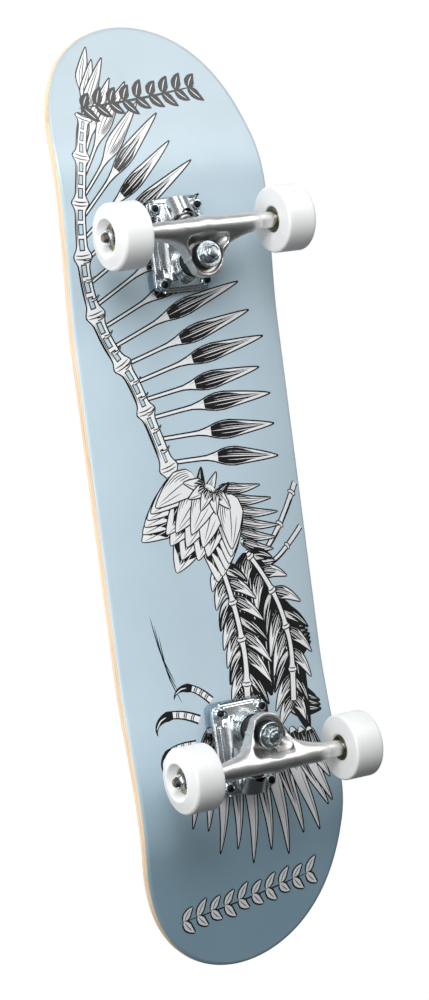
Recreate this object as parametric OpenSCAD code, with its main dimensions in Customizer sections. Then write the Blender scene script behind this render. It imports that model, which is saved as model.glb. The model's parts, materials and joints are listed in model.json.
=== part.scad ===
// Street skateboard: a concave laminated deck with kicked nose and tail, on two sprung
// trucks that each carry two urethane wheels on ball bearings.
// Millimetres. +X points at the nose, +Y at the rider's left, +Z up; the wheels stand on z = 0.

/* [Deck] */
// Overall length, nose tip to tail tip
deck_length = 806; // [720:2:860]
// Overall width
deck_width = 203; // [180:1:230]
// Thickness of the seven-ply laminate
deck_thickness = 10.4; // [9:0.1:12]
// Distance from the middle to where both kicks begin to rise
kick_start = 261; // [240:1:290]
// Radius of the bend into each kick
kick_radius = 110; // [80:5:160]
// Slope of the nose kick
nose_angle = 21.3; // [15:0.1:26]
// Slope of the tail kick
tail_angle = 17.7; // [12:0.1:26]
// Rise of the long edges above the flat centre strip
concave_rise = 8.6; // [4:0.1:14]
// Half width of the flat strip along the centre
flat_half_width = 34; // [33:0.5:45]
// Where the nose outline starts to narrow
nose_taper_start = 178; // [120:1:240]
// How squarely the nose narrows: higher is blunter
nose_taper_power = 4.45; // [2:0.05:6]
// Where the tail outline starts to narrow
tail_taper_start = 241; // [160:1:280]
// How squarely the tail narrows: higher is blunter
tail_taper_power = 3.05; // [2:0.05:6]
// Radius of the rounded long edge, top and bottom
edge_radius = 4; // [1:0.1:5]
// Thickness of the abrasive sheet on top
grip_thickness = 0.7; // [0.4:0.1:1.2]

/* [Truck mounting] */
// Distance between the centres of the two four-bolt patterns
pattern_spacing = 425.4; // [380:0.2:460]
// Bolt spacing along the board
bolt_spacing_x = 63.5; // [53.975:9.525:63.5]
// Bolt spacing across the board
bolt_spacing_y = 41.275; // [38:0.005:45]
// Distance from the outer bolts to the spare holes of the shorter pattern
spare_hole_offset = 9.525; // [9:0.005:10]
// Thickness of the clear riser pad
riser_thickness = 3.2; // [1.6:0.1:12.7]
// How far the riser pad shows past the baseplate
riser_margin = 3; // [1:0.1:8]
// Thickness of the baseplate's flange
flange_thickness = 5; // [3:0.1:8]
// Length of the baseplate
baseplate_length = 74.5; // [74:0.5:90]
// Width of the baseplate
baseplate_width = 51.6; // [51:0.2:64]

/* [Truck] */
// Length of the turned hanger, end face to end face
hanger_length = 131; // [100:1:170]
// Length of the axle, tip to tip
axle_length = 196.4; // [180:0.2:240]
// Radius of the axle
axle_radius = 3.97; // [3.9:0.01:4]
// Depth of the axle centre below the deck
axle_depth = 54.6; // [45:0.1:65]
// Axle offset from the bolt pattern's centre, towards the nearer end of the board
axle_offset = 10.6; // [0:0.1:20]
// Radius of the hanger's turned ends
hanger_end_radius = 6.8; // [6.2:0.1:9]
// Lean of the kingpin from upright, towards the nearer end of the board
kingpin_lean = 10; // [0:0.5:30]
// Radius of the kingpin
kingpin_radius = 4.76; // [4.5:0.01:5.2]

/* [Wheels] */
// Diameter of the wheel
wheel_diameter = 56; // [49:0.5:60]
// Width of the wheel
wheel_width = 27.5; // [26:0.5:40]
// Radius of the rounded lip beside the inner face
lip_radius = 2; // [1:0.1:6]
// Radius of the rounded lip beside the outer face
outer_lip_radius = 3.2; // [1:0.1:6]
// Bulge of the outer face from its lip to the hub mouth
face_bulge = 3; // [0:0.1:5]
// Radius of the mouth of the outer hub recess
hub_mouth_radius = 15; // [12:0.1:20]
// Outside radius of the bearing
bearing_radius = 11; // [10.5:0.01:11.5]
// Width of the bearing
bearing_width = 7; // [6.5:0.1:7.5]
// Gap between the two bearings of a wheel
bearing_gap = 8; // [6:0.1:12]
// Thickness of each speed washer
washer_thickness = 1; // [0.5:0.1:1.5]
// Radius of the bearing balls
ball_radius = 1.95; // [1.8:0.01:2.1]
// Balls in one bearing
ball_count = 7; // [6:1:9]

/* [Hidden] */
$fn = 64;

WOOD = [0.80, 0.60, 0.38];
GRIP = [0.08, 0.08, 0.09];
CLEAR = [0.72, 0.82, 0.90, 0.45];
ALLOY = [0.78, 0.79, 0.80];
ZINC = [0.66, 0.74, 0.78];
STEEL = [0.35, 0.36, 0.38];
BLACK = [0.06, 0.06, 0.07];
URETHANE = [0.93, 0.93, 0.92];
BRONZE = [0.62, 0.58, 0.38];

// Running clearance between a shaft and the bore it turns or sits in
fit_gap = 0.05;
FRONT = 1;
REAR = -1;
LEFT = 1;
RIGHT = -1;

half_width = deck_width / 2;
under_z = wheel_diameter / 2 + axle_depth;
truck_x = pattern_spacing / 2;
axle_x = truck_x + axle_offset;
axle_z = wheel_diameter / 2;
flange_face = -riser_thickness - flange_thickness;

// ---------------------------------------------------------------- deck surface

// How blunt the outline is where it crosses the centre line
outline_power = 1.98;
// The concave fades to nothing between these distances from the middle
fade_start = 140;
fade_end = 253;
// Points across the sheet, as fractions of its half width
COLUMNS = [-1, -0.87, -0.74, -0.61, -0.48, -0.335, 0, 0.335, 0.48, 0.61, 0.74, 0.87, 1];
// The rounded edge as [inset, height] steps from the underside to the top
EDGE = [
    [0.293 * edge_radius, 0.293 * edge_radius],
    [0, edge_radius],
    [0, deck_thickness - edge_radius],
    [0.293 * edge_radius, deck_thickness - 0.293 * edge_radius],
];

function clamp01(t) = min(1, max(0, t));
function smooth(t) = let(c = clamp01(t)) c * c * (3 - 2 * c);
function kick_angle(x) = x >= 0 ? nose_angle : tail_angle;
function kick_run(x) = kick_radius * sin(kick_angle(x));
function past_kick(x) = max(0, abs(x) - kick_start);
function local_slope(x) = past_kick(x) < kick_run(x) ? asin(past_kick(x) / kick_radius) : kick_angle(x);
function arc_rise(s) = kick_radius - sqrt(kick_radius * kick_radius - s * s);
function kick_rise(x) = past_kick(x) < kick_run(x)
    ? arc_rise(past_kick(x))
    : arc_rise(kick_run(x)) + (past_kick(x) - kick_run(x)) * tan(kick_angle(x));
function dish(y) = pow(max(0, abs(y) - flat_half_width) / (half_width - flat_half_width), 2);
function fade(x) = 1 - smooth((abs(x) - fade_start) / (fade_end - fade_start));
function underside(x, y) = under_z + kick_rise(x) + concave_rise * dish(y) * fade(x);

// The tip reaches further than half the length by what the rounded edge leans back
function reach(x) = deck_length / 2 + edge_radius * sin(kick_angle(x));
function taper_start(x) = x >= 0 ? nose_taper_start : tail_taper_start;
function taper_power(x) = x >= 0 ? nose_taper_power : tail_taper_power;
function taper(x) = clamp01((abs(x) - taper_start(x)) / (reach(x) - taper_start(x)));
function outline_half(x) = half_width * pow(1 - pow(taper(x), taper_power(x)), 1 / outline_power);
function tip_distance(x, angle) = taper_start(x)
    + (reach(x) - taper_start(x)) * pow(1 - pow(cos(angle), outline_power), 1 / taper_power(x));

// Stations along one half of the deck, each [x, half width], from the middle to the tip
function half_stations(end) = let(
    bend_end = kick_start + kick_run(end) + 6,
    turn = acos(outline_half(end * bend_end) / half_width),
    tip_steps = 15
) concat(
    [for (d = [0 : 17.4 : kick_start - 1]) [end * d, outline_half(end * d)]],
    [for (i = [1 : 8]) let(d = kick_start - 6 + (bend_end - kick_start + 6) * i / 8) [end * d, outline_half(end * d)]],
    [for (i = [1 : tip_steps]) let(a = turn + (88.5 - turn) * i / tip_steps)
        [end * tip_distance(end, a), half_width * cos(a)]]
);
function reversed(list) = [for (i = [len(list) - 1 : -1 : 0]) list[i]];
function without_first(list) = [for (i = [1 : len(list) - 1]) list[i]];
STATIONS = concat(reversed(half_stations(REAR)), without_first(half_stations(FRONT)));

// A point of the sheet: a station, a fraction across, an inset from the outline and a height
function sheet_point(station, v, inset, height) = let(
    x = station[0] * (reach(station[0]) - inset) / reach(station[0]),
    y = v * station[1] * (half_width - inset) / half_width,
    a = local_slope(x) * sign(x)
) [x - height * sin(a), y, underside(x, y) + height * cos(a)];

function row(station, height, order) = [for (v = order) sheet_point(station, v, edge_radius, height)];
function side(station, v, edge) = [for (e = edge) sheet_point(station, v, e[0], e[1])];
function section_loop(station, low, high, edge) = concat(
    row(station, low, COLUMNS),
    side(station, 1, edge),
    row(station, high, reversed(COLUMNS)),
    side(station, -1, reversed(edge))
);

// A closed curved sheet between two heights above the underside, with an edge profile
module sheet(low, high, edge) {
    columns = len(COLUMNS);
    size = 2 * columns + 2 * len(edge);
    top_first = columns + len(edge);
    last = len(STATIONS) - 1;
    middle = (low + high) / 2;
    tip_inset = len(edge) > 0 ? 0 : edge_radius;
    points = concat(
        [for (s = STATIONS) each section_loop(s, low, high, edge)],
        [for (i = [0, last]) sheet_point(STATIONS[i], 0, tip_inset, middle)]
    );
    skin = [
        for (i = [0 : last - 1], j = [0 : size - 1]) let(
            k = (j + 1) % size,
            a = i * size + j,
            b = a + size,
            d = i * size + k,
            c = d + size
        ) each (j >= top_first && j < top_first + columns - 1 ? [[a, b, d], [b, c, d]] : [[a, b, c], [a, c, d]])
    ];
    ends = [
        for (j = [0 : size - 1]) let(k = (j + 1) % size, n = len(STATIONS) * size)
            each [[n, j, k], [n + 1, last * size + k, last * size + j]]
    ];
    polyhedron(points = points, faces = concat(skin, ends), convexity = 8);
}

// ---------------------------------------------------------------- placing

// A truck's own frame: x away from the board's middle, z up from the deck's underside
module at_truck(end) {
    translate([end * truck_x, 0, under_z])
        rotate([0, 0, end > 0 ? 0 : 180])
            children();
}

// Ring centre of the hanger, and the centre of the pivot nose, in the truck's frame
ring_at = [-13.9, 0, -42.9];
pivot_at = [26, 0, -19];
steer_span = ring_at - pivot_at;

// Local z runs along the kingpin from the ring's centre towards the nut
module along_kingpin() {
    translate(ring_at)
        rotate([0, 180 - kingpin_lean, 0])
            children();
}

// Local z runs along the steering axis from the pivot nose towards the ring
module along_steer_axis() {
    translate(pivot_at)
        rotate([0, atan2(steer_span[0], steer_span[2]), 0])
            children();
}

// Local z runs outwards along the axle from the board's centre plane
module along_axle(end, side) {
    translate([end * axle_x, 0, axle_z])
        rotate([-90 * side, 0, 0])
            children();
}

module at_bolts() {
    for (x = [-1, 1], y = [-1, 1])
        translate([x * bolt_spacing_x / 2, y * bolt_spacing_y / 2, 0])
            children();
}

module ring(outer, inner, height) {
    difference() {
        cylinder(h = height, r = outer);
        translate([0, 0, -1])
            cylinder(h = height + 2, r = inner);
    }
}

// A rounded rectangle with exact quarter-round corners
module rounded_plate(length, width, corner, height) {
    linear_extrude(height = height) {
        square([length - 2 * corner, width], center = true);
        square([length, width - 2 * corner], center = true);
        for (x = [-1, 1], y = [-1, 1])
            translate([x * (length / 2 - corner), y * (width / 2 - corner)])
                circle(r = corner);
    }
}

// ---------------------------------------------------------------- deck and hardware

bolt_radius = 2.4;
bolt_hole_radius = 2.75;
bolt_head_radius = 4.7;
bolt_tip_depth = 16;
grip_top = deck_thickness + grip_thickness;
mount_nut_circumradius = 5.5;
kingpin_nut_circumradius = 8.25;

// Bolt holes and their countersinks through the deck and the sheet on it
module bolt_clearances() {
    for (end = [FRONT, REAR])
        at_truck(end)
            at_bolts() {
                translate([0, 0, -5])
                    cylinder(h = 30, r = bolt_hole_radius);
                translate([0, 0, grip_top - 2.6])
                    cylinder(h = 4, r1 = bolt_hole_radius, r2 = bolt_hole_radius + 4);
            }
}

module deck() {
    color(WOOD)
        difference() {
            sheet(0, deck_thickness, EDGE);
            bolt_clearances();
        }
}

module grip_tape() {
    color(GRIP)
        difference() {
            sheet(deck_thickness, grip_top, []);
            bolt_clearances();
        }
}

module mounting_bolts(end) {
    color(BLACK)
        at_truck(end)
            at_bolts()
                difference() {
                    union() {
                        translate([0, 0, -bolt_tip_depth])
                            cylinder(h = bolt_tip_depth + grip_top - 1, r = bolt_radius);
                        translate([0, 0, grip_top - 2.5])
                            cylinder(h = 2.3, r1 = bolt_radius, r2 = bolt_head_radius);
                    }
                    for (turn = [0, 90])
                        rotate([0, 0, turn])
                            translate([-2.4, -0.5, grip_top - 1.8])
                                cube([4.8, 1, 4]);
                }
}

module mounting_nuts(end) {
    color(ZINC)
        at_truck(end)
            at_bolts()
                translate([0, 0, flange_face])
                    rotate([180, 0, 0])
                        difference() {
                            union() {
                                cylinder(h = 4.2, r = mount_nut_circumradius, $fn = 6);
                                cylinder(h = 5.8, r = 4.1);
                            }
                            translate([0, 0, -1])
                                cylinder(h = 8, r = bolt_radius + fit_gap);
                        }
}

module mounting_holes() {
    translate([0, 0, -40])
        at_bolts()
            cylinder(h = 60, r = bolt_hole_radius);
    for (y = [-1, 1])
        translate([bolt_spacing_x / 2 - spare_hole_offset, y * bolt_spacing_y / 2, -40])
            cylinder(h = 60, r = bolt_hole_radius);
}

module riser_pad(end) {
    color(CLEAR)
        at_truck(end)
            difference() {
                translate([0, 0, -riser_thickness])
                    rounded_plate(
                        baseplate_length + 2 * riser_margin, baseplate_width + 2 * riser_margin, 7, riser_thickness
                    );
                mounting_holes();
                translate([-26, 0, -riser_thickness - 1])
                    cylinder(h = riser_thickness + 2, r = 10);
            }
}

// ---------------------------------------------------------------- truck, fixed half

// Distances along the kingpin from the ring's centre, towards the nut positive
ring_half = 3.4;
lower_bushing_height = 14.5;
cup_thickness = 1.6;
seat_s = -ring_half - lower_bushing_height - cup_thickness;
head_s = -28.5;
head_height = 6;
upper_bushing_height = 8.6;
upper_washer_s = ring_half + upper_bushing_height;
nut_s = upper_washer_s + 1.4;
kingpin_tip_s = 20.9;

// Side outline of the baseplate's raised spine, in the truck's x and z
SPINE = [
    [-36.4, flange_face + 0.5], [-29.4, -16], [-2, -16], [6, -13.2],
    [20, -13.2], [34.6, -10.4], [36.6, flange_face + 0.5],
];

module baseplate(end) {
    color(ALLOY)
        at_truck(end)
            difference() {
                union() {
                    translate([0, 0, flange_face])
                        rounded_plate(baseplate_length, baseplate_width, 4.5, flange_thickness);
                    translate([0, 14.6, 0])
                        rotate([90, 0, 0])
                            linear_extrude(height = 29.2)
                                polygon(SPINE);
                    // shoulders between the bolt pockets
                    translate([-21, -19, flange_face - 3.2])
                        cube([40, 38, 5]);
                    // low lips along both long edges
                    for (y = [-1, 1])
                        translate([-24, y * (baseplate_width / 2 - 1.3) - 1.3, flange_face - 1.6])
                            cube([48, 2.6, 4]);
                    along_kingpin()
                        translate([0, 0, -34])
                            cylinder(h = 34 + seat_s, r = 13.6);
                    along_steer_axis()
                        translate([0, 0, -9])
                            cylinder(h = 15, r = 10.6);
                }
                // the bottom stays flat on the riser pad
                translate([-60, -40, -riser_thickness])
                    cube([120, 80, 30]);
                mounting_holes();
                along_kingpin() {
                    translate([0, 0, -60])
                        cylinder(h = 60 + head_s, r = 8.7);
                    translate([0, 0, -60])
                        cylinder(h = 80, r = kingpin_radius + fit_gap);
                }
                along_steer_axis()
                    translate([0, 0, -7.5])
                        cylinder(h = 40, r = 8.25);
            }
}

module kingpin(end) {
    color(ZINC)
        at_truck(end)
            along_kingpin() {
                translate([0, 0, head_s - head_height])
                    cylinder(h = head_height, r = kingpin_nut_circumradius, $fn = 6);
                translate([0, 0, head_s - 0.5])
                    cylinder(h = kingpin_tip_s - head_s - 0.5, r = kingpin_radius);
                translate([0, 0, kingpin_tip_s - 1])
                    cylinder(h = 1, r1 = kingpin_radius, r2 = kingpin_radius - 1);
            }
}

module kingpin_nut(end) {
    color(ZINC)
        at_truck(end)
            along_kingpin()
                translate([0, 0, nut_s])
                    difference() {
                        union() {
                            cylinder(h = 4.8, r = kingpin_nut_circumradius, $fn = 6);
                            cylinder(h = 6.3, r = 6.6);
                        }
                        translate([0, 0, -1])
                            cylinder(h = 10, r = kingpin_radius + fit_gap);
                    }
}

// A dished washer whose lip stands towards local +z
module cup_washer(radius, thickness, lip) {
    rotate_extrude()
        polygon([
            [kingpin_radius + 0.3, 0], [radius - 0.5, 0], [radius, 0.6], [radius, thickness + lip],
            [radius - 0.7, thickness + lip], [radius - 0.7, thickness], [kingpin_radius + 0.3, thickness],
        ]);
}

module lower_washer(end) {
    color(ZINC)
        at_truck(end)
            along_kingpin()
                translate([0, 0, seat_s])
                    cup_washer(12.8, cup_thickness, 2.4);
}

module upper_washer(end) {
    color(ZINC)
        at_truck(end)
            along_kingpin()
                translate([0, 0, upper_washer_s + 1.4])
                    rotate([180, 0, 0])
                        cup_washer(11.8, 1.4, 1.6);
}

module lower_bushing(end) {
    color(BLACK)
        at_truck(end)
            along_kingpin()
                translate([0, 0, seat_s + cup_thickness])
                    rotate_extrude()
                        polygon([
                            [kingpin_radius + fit_gap, 0], [11, 0], [11.5, 0.8],
                            [11.9, lower_bushing_height / 2], [11.5, lower_bushing_height - 0.8],
                            [10.8, lower_bushing_height], [kingpin_radius + fit_gap, lower_bushing_height],
                        ]);
}

module upper_bushing(end) {
    color(BLACK)
        at_truck(end)
            along_kingpin()
                translate([0, 0, ring_half])
                    rotate_extrude()
                        polygon([
                            [kingpin_radius + fit_gap, 0], [11.2, 0], [11.6, 0.8], [9.3, upper_bushing_height - 0.6],
                            [8.8, upper_bushing_height], [kingpin_radius + fit_gap, upper_bushing_height],
                        ]);
}

nose_radius = 6.4;

module pivot_cup(end) {
    color(BLACK)
        at_truck(end)
            along_steer_axis()
                difference() {
                    translate([0, 0, -7.4])
                        cylinder(h = 12.9, r = 8.2);
                    sphere(r = nose_radius + fit_gap);
                    cylinder(h = 10, r = nose_radius + fit_gap);
                }
}

// ---------------------------------------------------------------- truck, turning half

axle_at = [axle_offset, 0, -axle_depth];

// A rod across the truck, parallel to the axle
module cross_rod(at, radius, length) {
    translate(at)
        rotate([90, 0, 0])
            cylinder(h = length, r = radius, center = true, $fn = 32);
}

// Outside of the yoke that holds the bushings, before its rim is cut
module yoke_body() {
    along_kingpin()
        hull() {
            translate([0, 0, -ring_half])
                cylinder(h = 19.4, r1 = 16.2, r2 = 19, $fn = 48);
            for (y = [-1, 1])
                translate([-14.5, y * 16.6, 4])
                    cylinder(h = 18, r = 6.4, $fn = 24);
        }
}

// The open scoop around the upper bushing and the nut
module yoke_scoop() {
    along_kingpin()
        hull() {
            translate([0, 0, ring_half])
                cylinder(h = 28.6, r1 = 14, r2 = 18.4, $fn = 48);
            for (y = [-1, 1])
                translate([-9.8, y * 14.6, 13])
                    cylinder(h = 19, r = 4.8, $fn = 24);
        }
}

// Everything on the road side of the yoke's sloping rim
module above_rim() {
    along_kingpin()
        rotate([90, 0, 0])
            linear_extrude(height = 80, center = true)
                polygon([[26, 3], [-15, 14.4], [-15, 60], [26, 60]]);
}

module hanger(end) {
    color(ALLOY)
        at_truck(end)
            difference() {
                union() {
                    difference() {
                        union() {
                            yoke_body();
                            // webs from the bar to the yoke
                            hull() {
                                cross_rod(axle_at + [-0.5, 0, 0.6], 6.2, 86);
                                cross_rod([-7, 0, -47], 4.4, 36);
                            }
                        }
                        above_rim();
                    }
                    translate(axle_at)
                        rotate([90, 0, 0])
                            rotate_extrude()
                                polygon([
                                    [0, -hanger_end], [hanger_end_radius, -hanger_end], [hanger_end_radius + 0.3, -52],
                                    [7.6, -50], [8.5, -26], [8.5, 26], [7.6, 50],
                                    [hanger_end_radius + 0.3, 52], [hanger_end_radius, hanger_end], [0, hanger_end],
                                ]);
                    // arm from the bar up to the pivot nose
                    hull() {
                        cross_rod(axle_at + [1, 0, 2], 7, 22);
                        along_steer_axis()
                            translate([0, 0, 13])
                                sphere(r = 7.2, $fn = 32);
                    }
                    along_steer_axis() {
                        cylinder(h = 13, r = nose_radius);
                        sphere(r = nose_radius);
                    }
                }
                yoke_scoop();
                along_kingpin() {
                    translate([0, 0, -20])
                        cylinder(h = 24, r = 6.7);
                    translate([0, 0, -24 - ring_half])
                        cylinder(h = 24, r = 15);
                }
                translate(axle_at)
                    rotate([90, 0, 0])
                        cylinder(h = hanger_length + 2, r = axle_radius + fit_gap, center = true);
            }
}

module axle(end) {
    color(STEEL)
        translate([end * axle_x, 0, axle_z])
            rotate([90, 0, 0]) {
                cylinder(h = axle_length - 2, r = axle_radius, center = true);
                for (turn = [0, 180])
                    rotate([turn, 0, 0])
                        translate([0, 0, axle_length / 2 - 1])
                            cylinder(h = 1, r1 = axle_radius, r2 = axle_radius - 0.9);
            }
}

// Distances outwards along the axle from the centre plane
hanger_end = hanger_length / 2;
inner_bearing = hanger_end + washer_thickness;
outer_bearing = inner_bearing + bearing_width + bearing_gap;
outer_washer = outer_bearing + bearing_width;

module speed_washers(end) {
    color(ZINC)
        for (side = [LEFT, RIGHT], at = [hanger_end, outer_washer])
            along_axle(end, side)
                translate([0, 0, at])
                    ring(6.3, axle_radius + fit_gap, washer_thickness);
}

module axle_nuts(end) {
    color(ZINC)
        for (side = [LEFT, RIGHT])
            along_axle(end, side)
                translate([0, 0, outer_washer + washer_thickness])
                    difference() {
                        union() {
                            cylinder(h = 4.2, r = 7.3, $fn = 6);
                            cylinder(h = 5.4, r = 5.9);
                        }
                        translate([0, 0, -1])
                            cylinder(h = 8, r = axle_radius + fit_gap);
                    }
}

module bearing_spacers(end) {
    color(STEEL)
        for (side = [LEFT, RIGHT])
            along_axle(end, side)
                translate([0, 0, inner_bearing + bearing_width])
                    ring(5.4, axle_radius + fit_gap, bearing_gap);
}

// ---------------------------------------------------------------- bearings and wheels

ball_pitch = 7.5;
race_radius = ball_radius + fit_gap;

// The groove the balls run in, centred on a bearing's middle
module race_groove() {
    rotate_extrude()
        translate([ball_pitch, 0])
            circle(r = race_radius);
}

module at_bearings(end, side) {
    for (at = [inner_bearing, outer_bearing])
        along_axle(end, side)
            translate([0, 0, at + bearing_width / 2])
                children();
}

module bearing_race(outer, inner) {
    difference() {
        translate([0, 0, -bearing_width / 2])
            ring(outer, inner, bearing_width);
        race_groove();
    }
}

module inner_rings(end) {
    color(STEEL)
        for (side = [LEFT, RIGHT])
            at_bearings(end, side)
                bearing_race(6.3, axle_radius + fit_gap);
}

module outer_rings(end, side) {
    color(BRONZE)
        at_bearings(end, side)
            bearing_race(bearing_radius - fit_gap, 8.7);
}

module shields(end, side) {
    color(BRONZE)
        at_bearings(end, side)
            for (turn = [0, 180])
                rotate([turn, 0, 0])
                    translate([0, 0, bearing_width / 2 - 0.6])
                        ring(8.66, 6.6, 0.4);
}

module balls(end, side) {
    color(STEEL)
        at_bearings(end, side)
            for (i = [0 : ball_count - 1])
                rotate([0, 0, i * 360 / ball_count])
                    translate([ball_pitch, 0, 0])
                        sphere(r = ball_radius);
}

module ball_cages(end, side) {
    color(BRONZE)
        at_bearings(end, side)
            difference() {
                translate([0, 0, -2.7])
                    ring(8.3, 6.7, 3.2);
                for (i = [0 : ball_count - 1])
                    rotate([0, 0, i * 360 / ball_count])
                        translate([ball_pitch, 0, 0])
                            sphere(r = race_radius);
            }
}

wheel_radius = wheel_diameter / 2;
wheel_inner = inner_bearing - 1.3;
wheel_outer = wheel_inner + wheel_width;

function lip(centre_w, radius, from) = [
    for (i = [0 : 6]) let(a = from + 15 * i)
        [wheel_radius - radius + radius * cos(a), centre_w + radius * sin(a)]
];

WHEEL_PROFILE = concat(
    [[bearing_radius, wheel_inner + 0.6], [bearing_radius + 0.6, wheel_inner]],
    lip(wheel_inner + lip_radius, lip_radius, -90),
    lip(wheel_outer - outer_lip_radius, outer_lip_radius, 0),
    [
        [hub_mouth_radius + 6, wheel_outer + 0.5 * face_bulge], [hub_mouth_radius + 2.6, wheel_outer + 0.9 * face_bulge],
        [hub_mouth_radius + 1, wheel_outer + face_bulge], [hub_mouth_radius, wheel_outer + face_bulge - 0.6],
        [12.4, outer_washer + 1.2], [bearing_radius, outer_washer + 0.4],
        [bearing_radius, outer_bearing], [9.4, outer_bearing],
        [9.4, inner_bearing + bearing_width], [bearing_radius, inner_bearing + bearing_width],
    ]
);

module wheel(end, side) {
    color(URETHANE)
        along_axle(end, side)
            rotate_extrude()
                polygon(WHEEL_PROFILE);
}

// ---------------------------------------------------------------- nodes

deck();
grip_tape();
riser_pad(FRONT);  // front_riser_pad
riser_pad(REAR);  // rear_riser_pad
baseplate(FRONT);  // front_baseplate
baseplate(REAR);  // rear_baseplate
mounting_bolts(FRONT);  // front_mounting_bolts
mounting_bolts(REAR);  // rear_mounting_bolts
mounting_nuts(FRONT);  // front_mounting_nuts
mounting_nuts(REAR);  // rear_mounting_nuts
kingpin(FRONT);  // front_kingpin
kingpin(REAR);  // rear_kingpin
kingpin_nut(FRONT);  // front_kingpin_nut
kingpin_nut(REAR);  // rear_kingpin_nut
lower_washer(FRONT);  // front_lower_washer
lower_washer(REAR);  // rear_lower_washer
upper_washer(FRONT);  // front_upper_washer
upper_washer(REAR);  // rear_upper_washer
lower_bushing(FRONT);  // front_lower_bushing
lower_bushing(REAR);  // rear_lower_bushing
upper_bushing(FRONT);  // front_upper_bushing
upper_bushing(REAR);  // rear_upper_bushing
pivot_cup(FRONT);  // front_pivot_cup
pivot_cup(REAR);  // rear_pivot_cup
hanger(FRONT);  // front_hanger
hanger(REAR);  // rear_hanger
axle(FRONT);  // front_axle
axle(REAR);  // rear_axle
axle_nuts(FRONT);  // front_axle_nuts
axle_nuts(REAR);  // rear_axle_nuts
speed_washers(FRONT);  // front_speed_washers
speed_washers(REAR);  // rear_speed_washers
bearing_spacers(FRONT);  // front_bearing_spacers
bearing_spacers(REAR);  // rear_bearing_spacers
inner_rings(FRONT);  // front_inner_rings
inner_rings(REAR);  // rear_inner_rings
wheel(FRONT, LEFT);  // front_left_wheel
wheel(FRONT, RIGHT);  // front_right_wheel
wheel(REAR, LEFT);  // rear_left_wheel
wheel(REAR, RIGHT);  // rear_right_wheel
outer_rings(FRONT, LEFT);  // front_left_outer_rings
outer_rings(FRONT, RIGHT);  // front_right_outer_rings
outer_rings(REAR, LEFT);  // rear_left_outer_rings
outer_rings(REAR, RIGHT);  // rear_right_outer_rings
shields(FRONT, LEFT);  // front_left_shields
shields(FRONT, RIGHT);  // front_right_shields
shields(REAR, LEFT);  // rear_left_shields
shields(REAR, RIGHT);  // rear_right_shields
balls(FRONT, LEFT);  // front_left_balls
balls(FRONT, RIGHT);  // front_right_balls
balls(REAR, LEFT);  // rear_left_balls
balls(REAR, RIGHT);  // rear_right_balls
ball_cages(FRONT, LEFT);  // front_left_ball_cages
ball_cages(FRONT, RIGHT);  // front_right_ball_cages
ball_cages(REAR, LEFT);  // rear_left_ball_cages
ball_cages(REAR, RIGHT);  // rear_right_ball_cages
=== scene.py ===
import json
import math
import random

import bpy
import numpy as np
from mathutils import Matrix, Vector
from mathutils.geometry import delaunay_2d_cdt


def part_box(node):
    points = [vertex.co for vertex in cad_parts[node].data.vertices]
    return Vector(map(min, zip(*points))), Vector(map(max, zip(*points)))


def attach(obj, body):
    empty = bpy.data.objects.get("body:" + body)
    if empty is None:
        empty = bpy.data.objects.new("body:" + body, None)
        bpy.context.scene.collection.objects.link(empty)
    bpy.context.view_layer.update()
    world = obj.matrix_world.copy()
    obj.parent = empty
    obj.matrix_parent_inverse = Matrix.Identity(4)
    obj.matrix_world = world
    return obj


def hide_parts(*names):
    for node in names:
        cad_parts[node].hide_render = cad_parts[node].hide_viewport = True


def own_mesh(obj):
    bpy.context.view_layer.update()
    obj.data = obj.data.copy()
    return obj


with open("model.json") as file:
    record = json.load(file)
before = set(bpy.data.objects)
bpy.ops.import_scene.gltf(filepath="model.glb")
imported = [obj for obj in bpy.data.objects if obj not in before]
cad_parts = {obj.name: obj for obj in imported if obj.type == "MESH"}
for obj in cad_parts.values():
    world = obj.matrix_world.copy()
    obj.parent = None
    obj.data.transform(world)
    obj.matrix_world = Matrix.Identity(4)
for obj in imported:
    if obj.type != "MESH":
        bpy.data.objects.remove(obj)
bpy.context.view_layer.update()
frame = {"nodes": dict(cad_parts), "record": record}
record = frame["record"]
nodes = frame["nodes"]
scene = bpy.context.scene

MM = 0.001
FRONT, REAR = "front", "rear"
ENDS = {FRONT: 1, REAR: -1}
SIDES = {"left": 1, "right": -1}

# ---------------------------------------------------------------- the object's own measures, in millimetres

joints = {j["name"]: j for j in record["behaviour"]["joints"]}
deck_low, deck_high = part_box("deck")
HALF_LENGTH = (deck_high.x - deck_low.x) / 2 / MM
HALF_WIDTH = (deck_high.y - deck_low.y) / 2 / MM
UNDER_Z = deck_low.z / MM
bolts_low, bolts_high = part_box("front_mounting_nuts")
TRUCK_X = (bolts_low.x + bolts_high.x) / 2 / MM
AXLE_X = joints["front_left_wheel_spin"]["pos_m"][0] / MM
AXLE_Z = joints["front_left_wheel_spin"]["pos_m"][2] / MM
WHEEL_R = AXLE_Z
DECK_T = 10.4
GRIP_T = 0.7
EDGE_R = 4.0
KICK_START = 261.0
KICK_R = 110.0
KICK_ANGLE = {1: math.radians(21.3), -1: math.radians(17.7)}
TAPER_START = {1: 178.0, -1: 241.0}
TAPER_POWER = {1: 4.45, -1: 3.05}
OUTLINE_POWER = 1.98
CONCAVE = 8.6
FLAT_HALF = 34.0
FADE = (140.0, 253.0)
BOLT_DX, BOLT_DY = 31.75, 20.6375
SPARE_DX = BOLT_DX - 9.525
RISER_T = 3.2
FLANGE_Z = -8.2
KINGPIN_LEAN = 10.0
RING_AT = Vector((-13.9, 0, -42.9))
PIVOT_AT = Vector((26, 0, -19))


def mat4(rotation=None, at=(0, 0, 0)):
    m = Matrix.Translation(Vector(at))
    return m @ rotation if rotation is not None else m


def truck_frame(end):
    """x away from the middle of the board, z up from the deck's underside, in millimetres."""
    turn = Matrix.Rotation(0 if ENDS[end] > 0 else math.pi, 4, "Z")
    return Matrix.Scale(MM, 4) @ mat4(turn, (ENDS[end] * TRUCK_X, 0, UNDER_Z))


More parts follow.
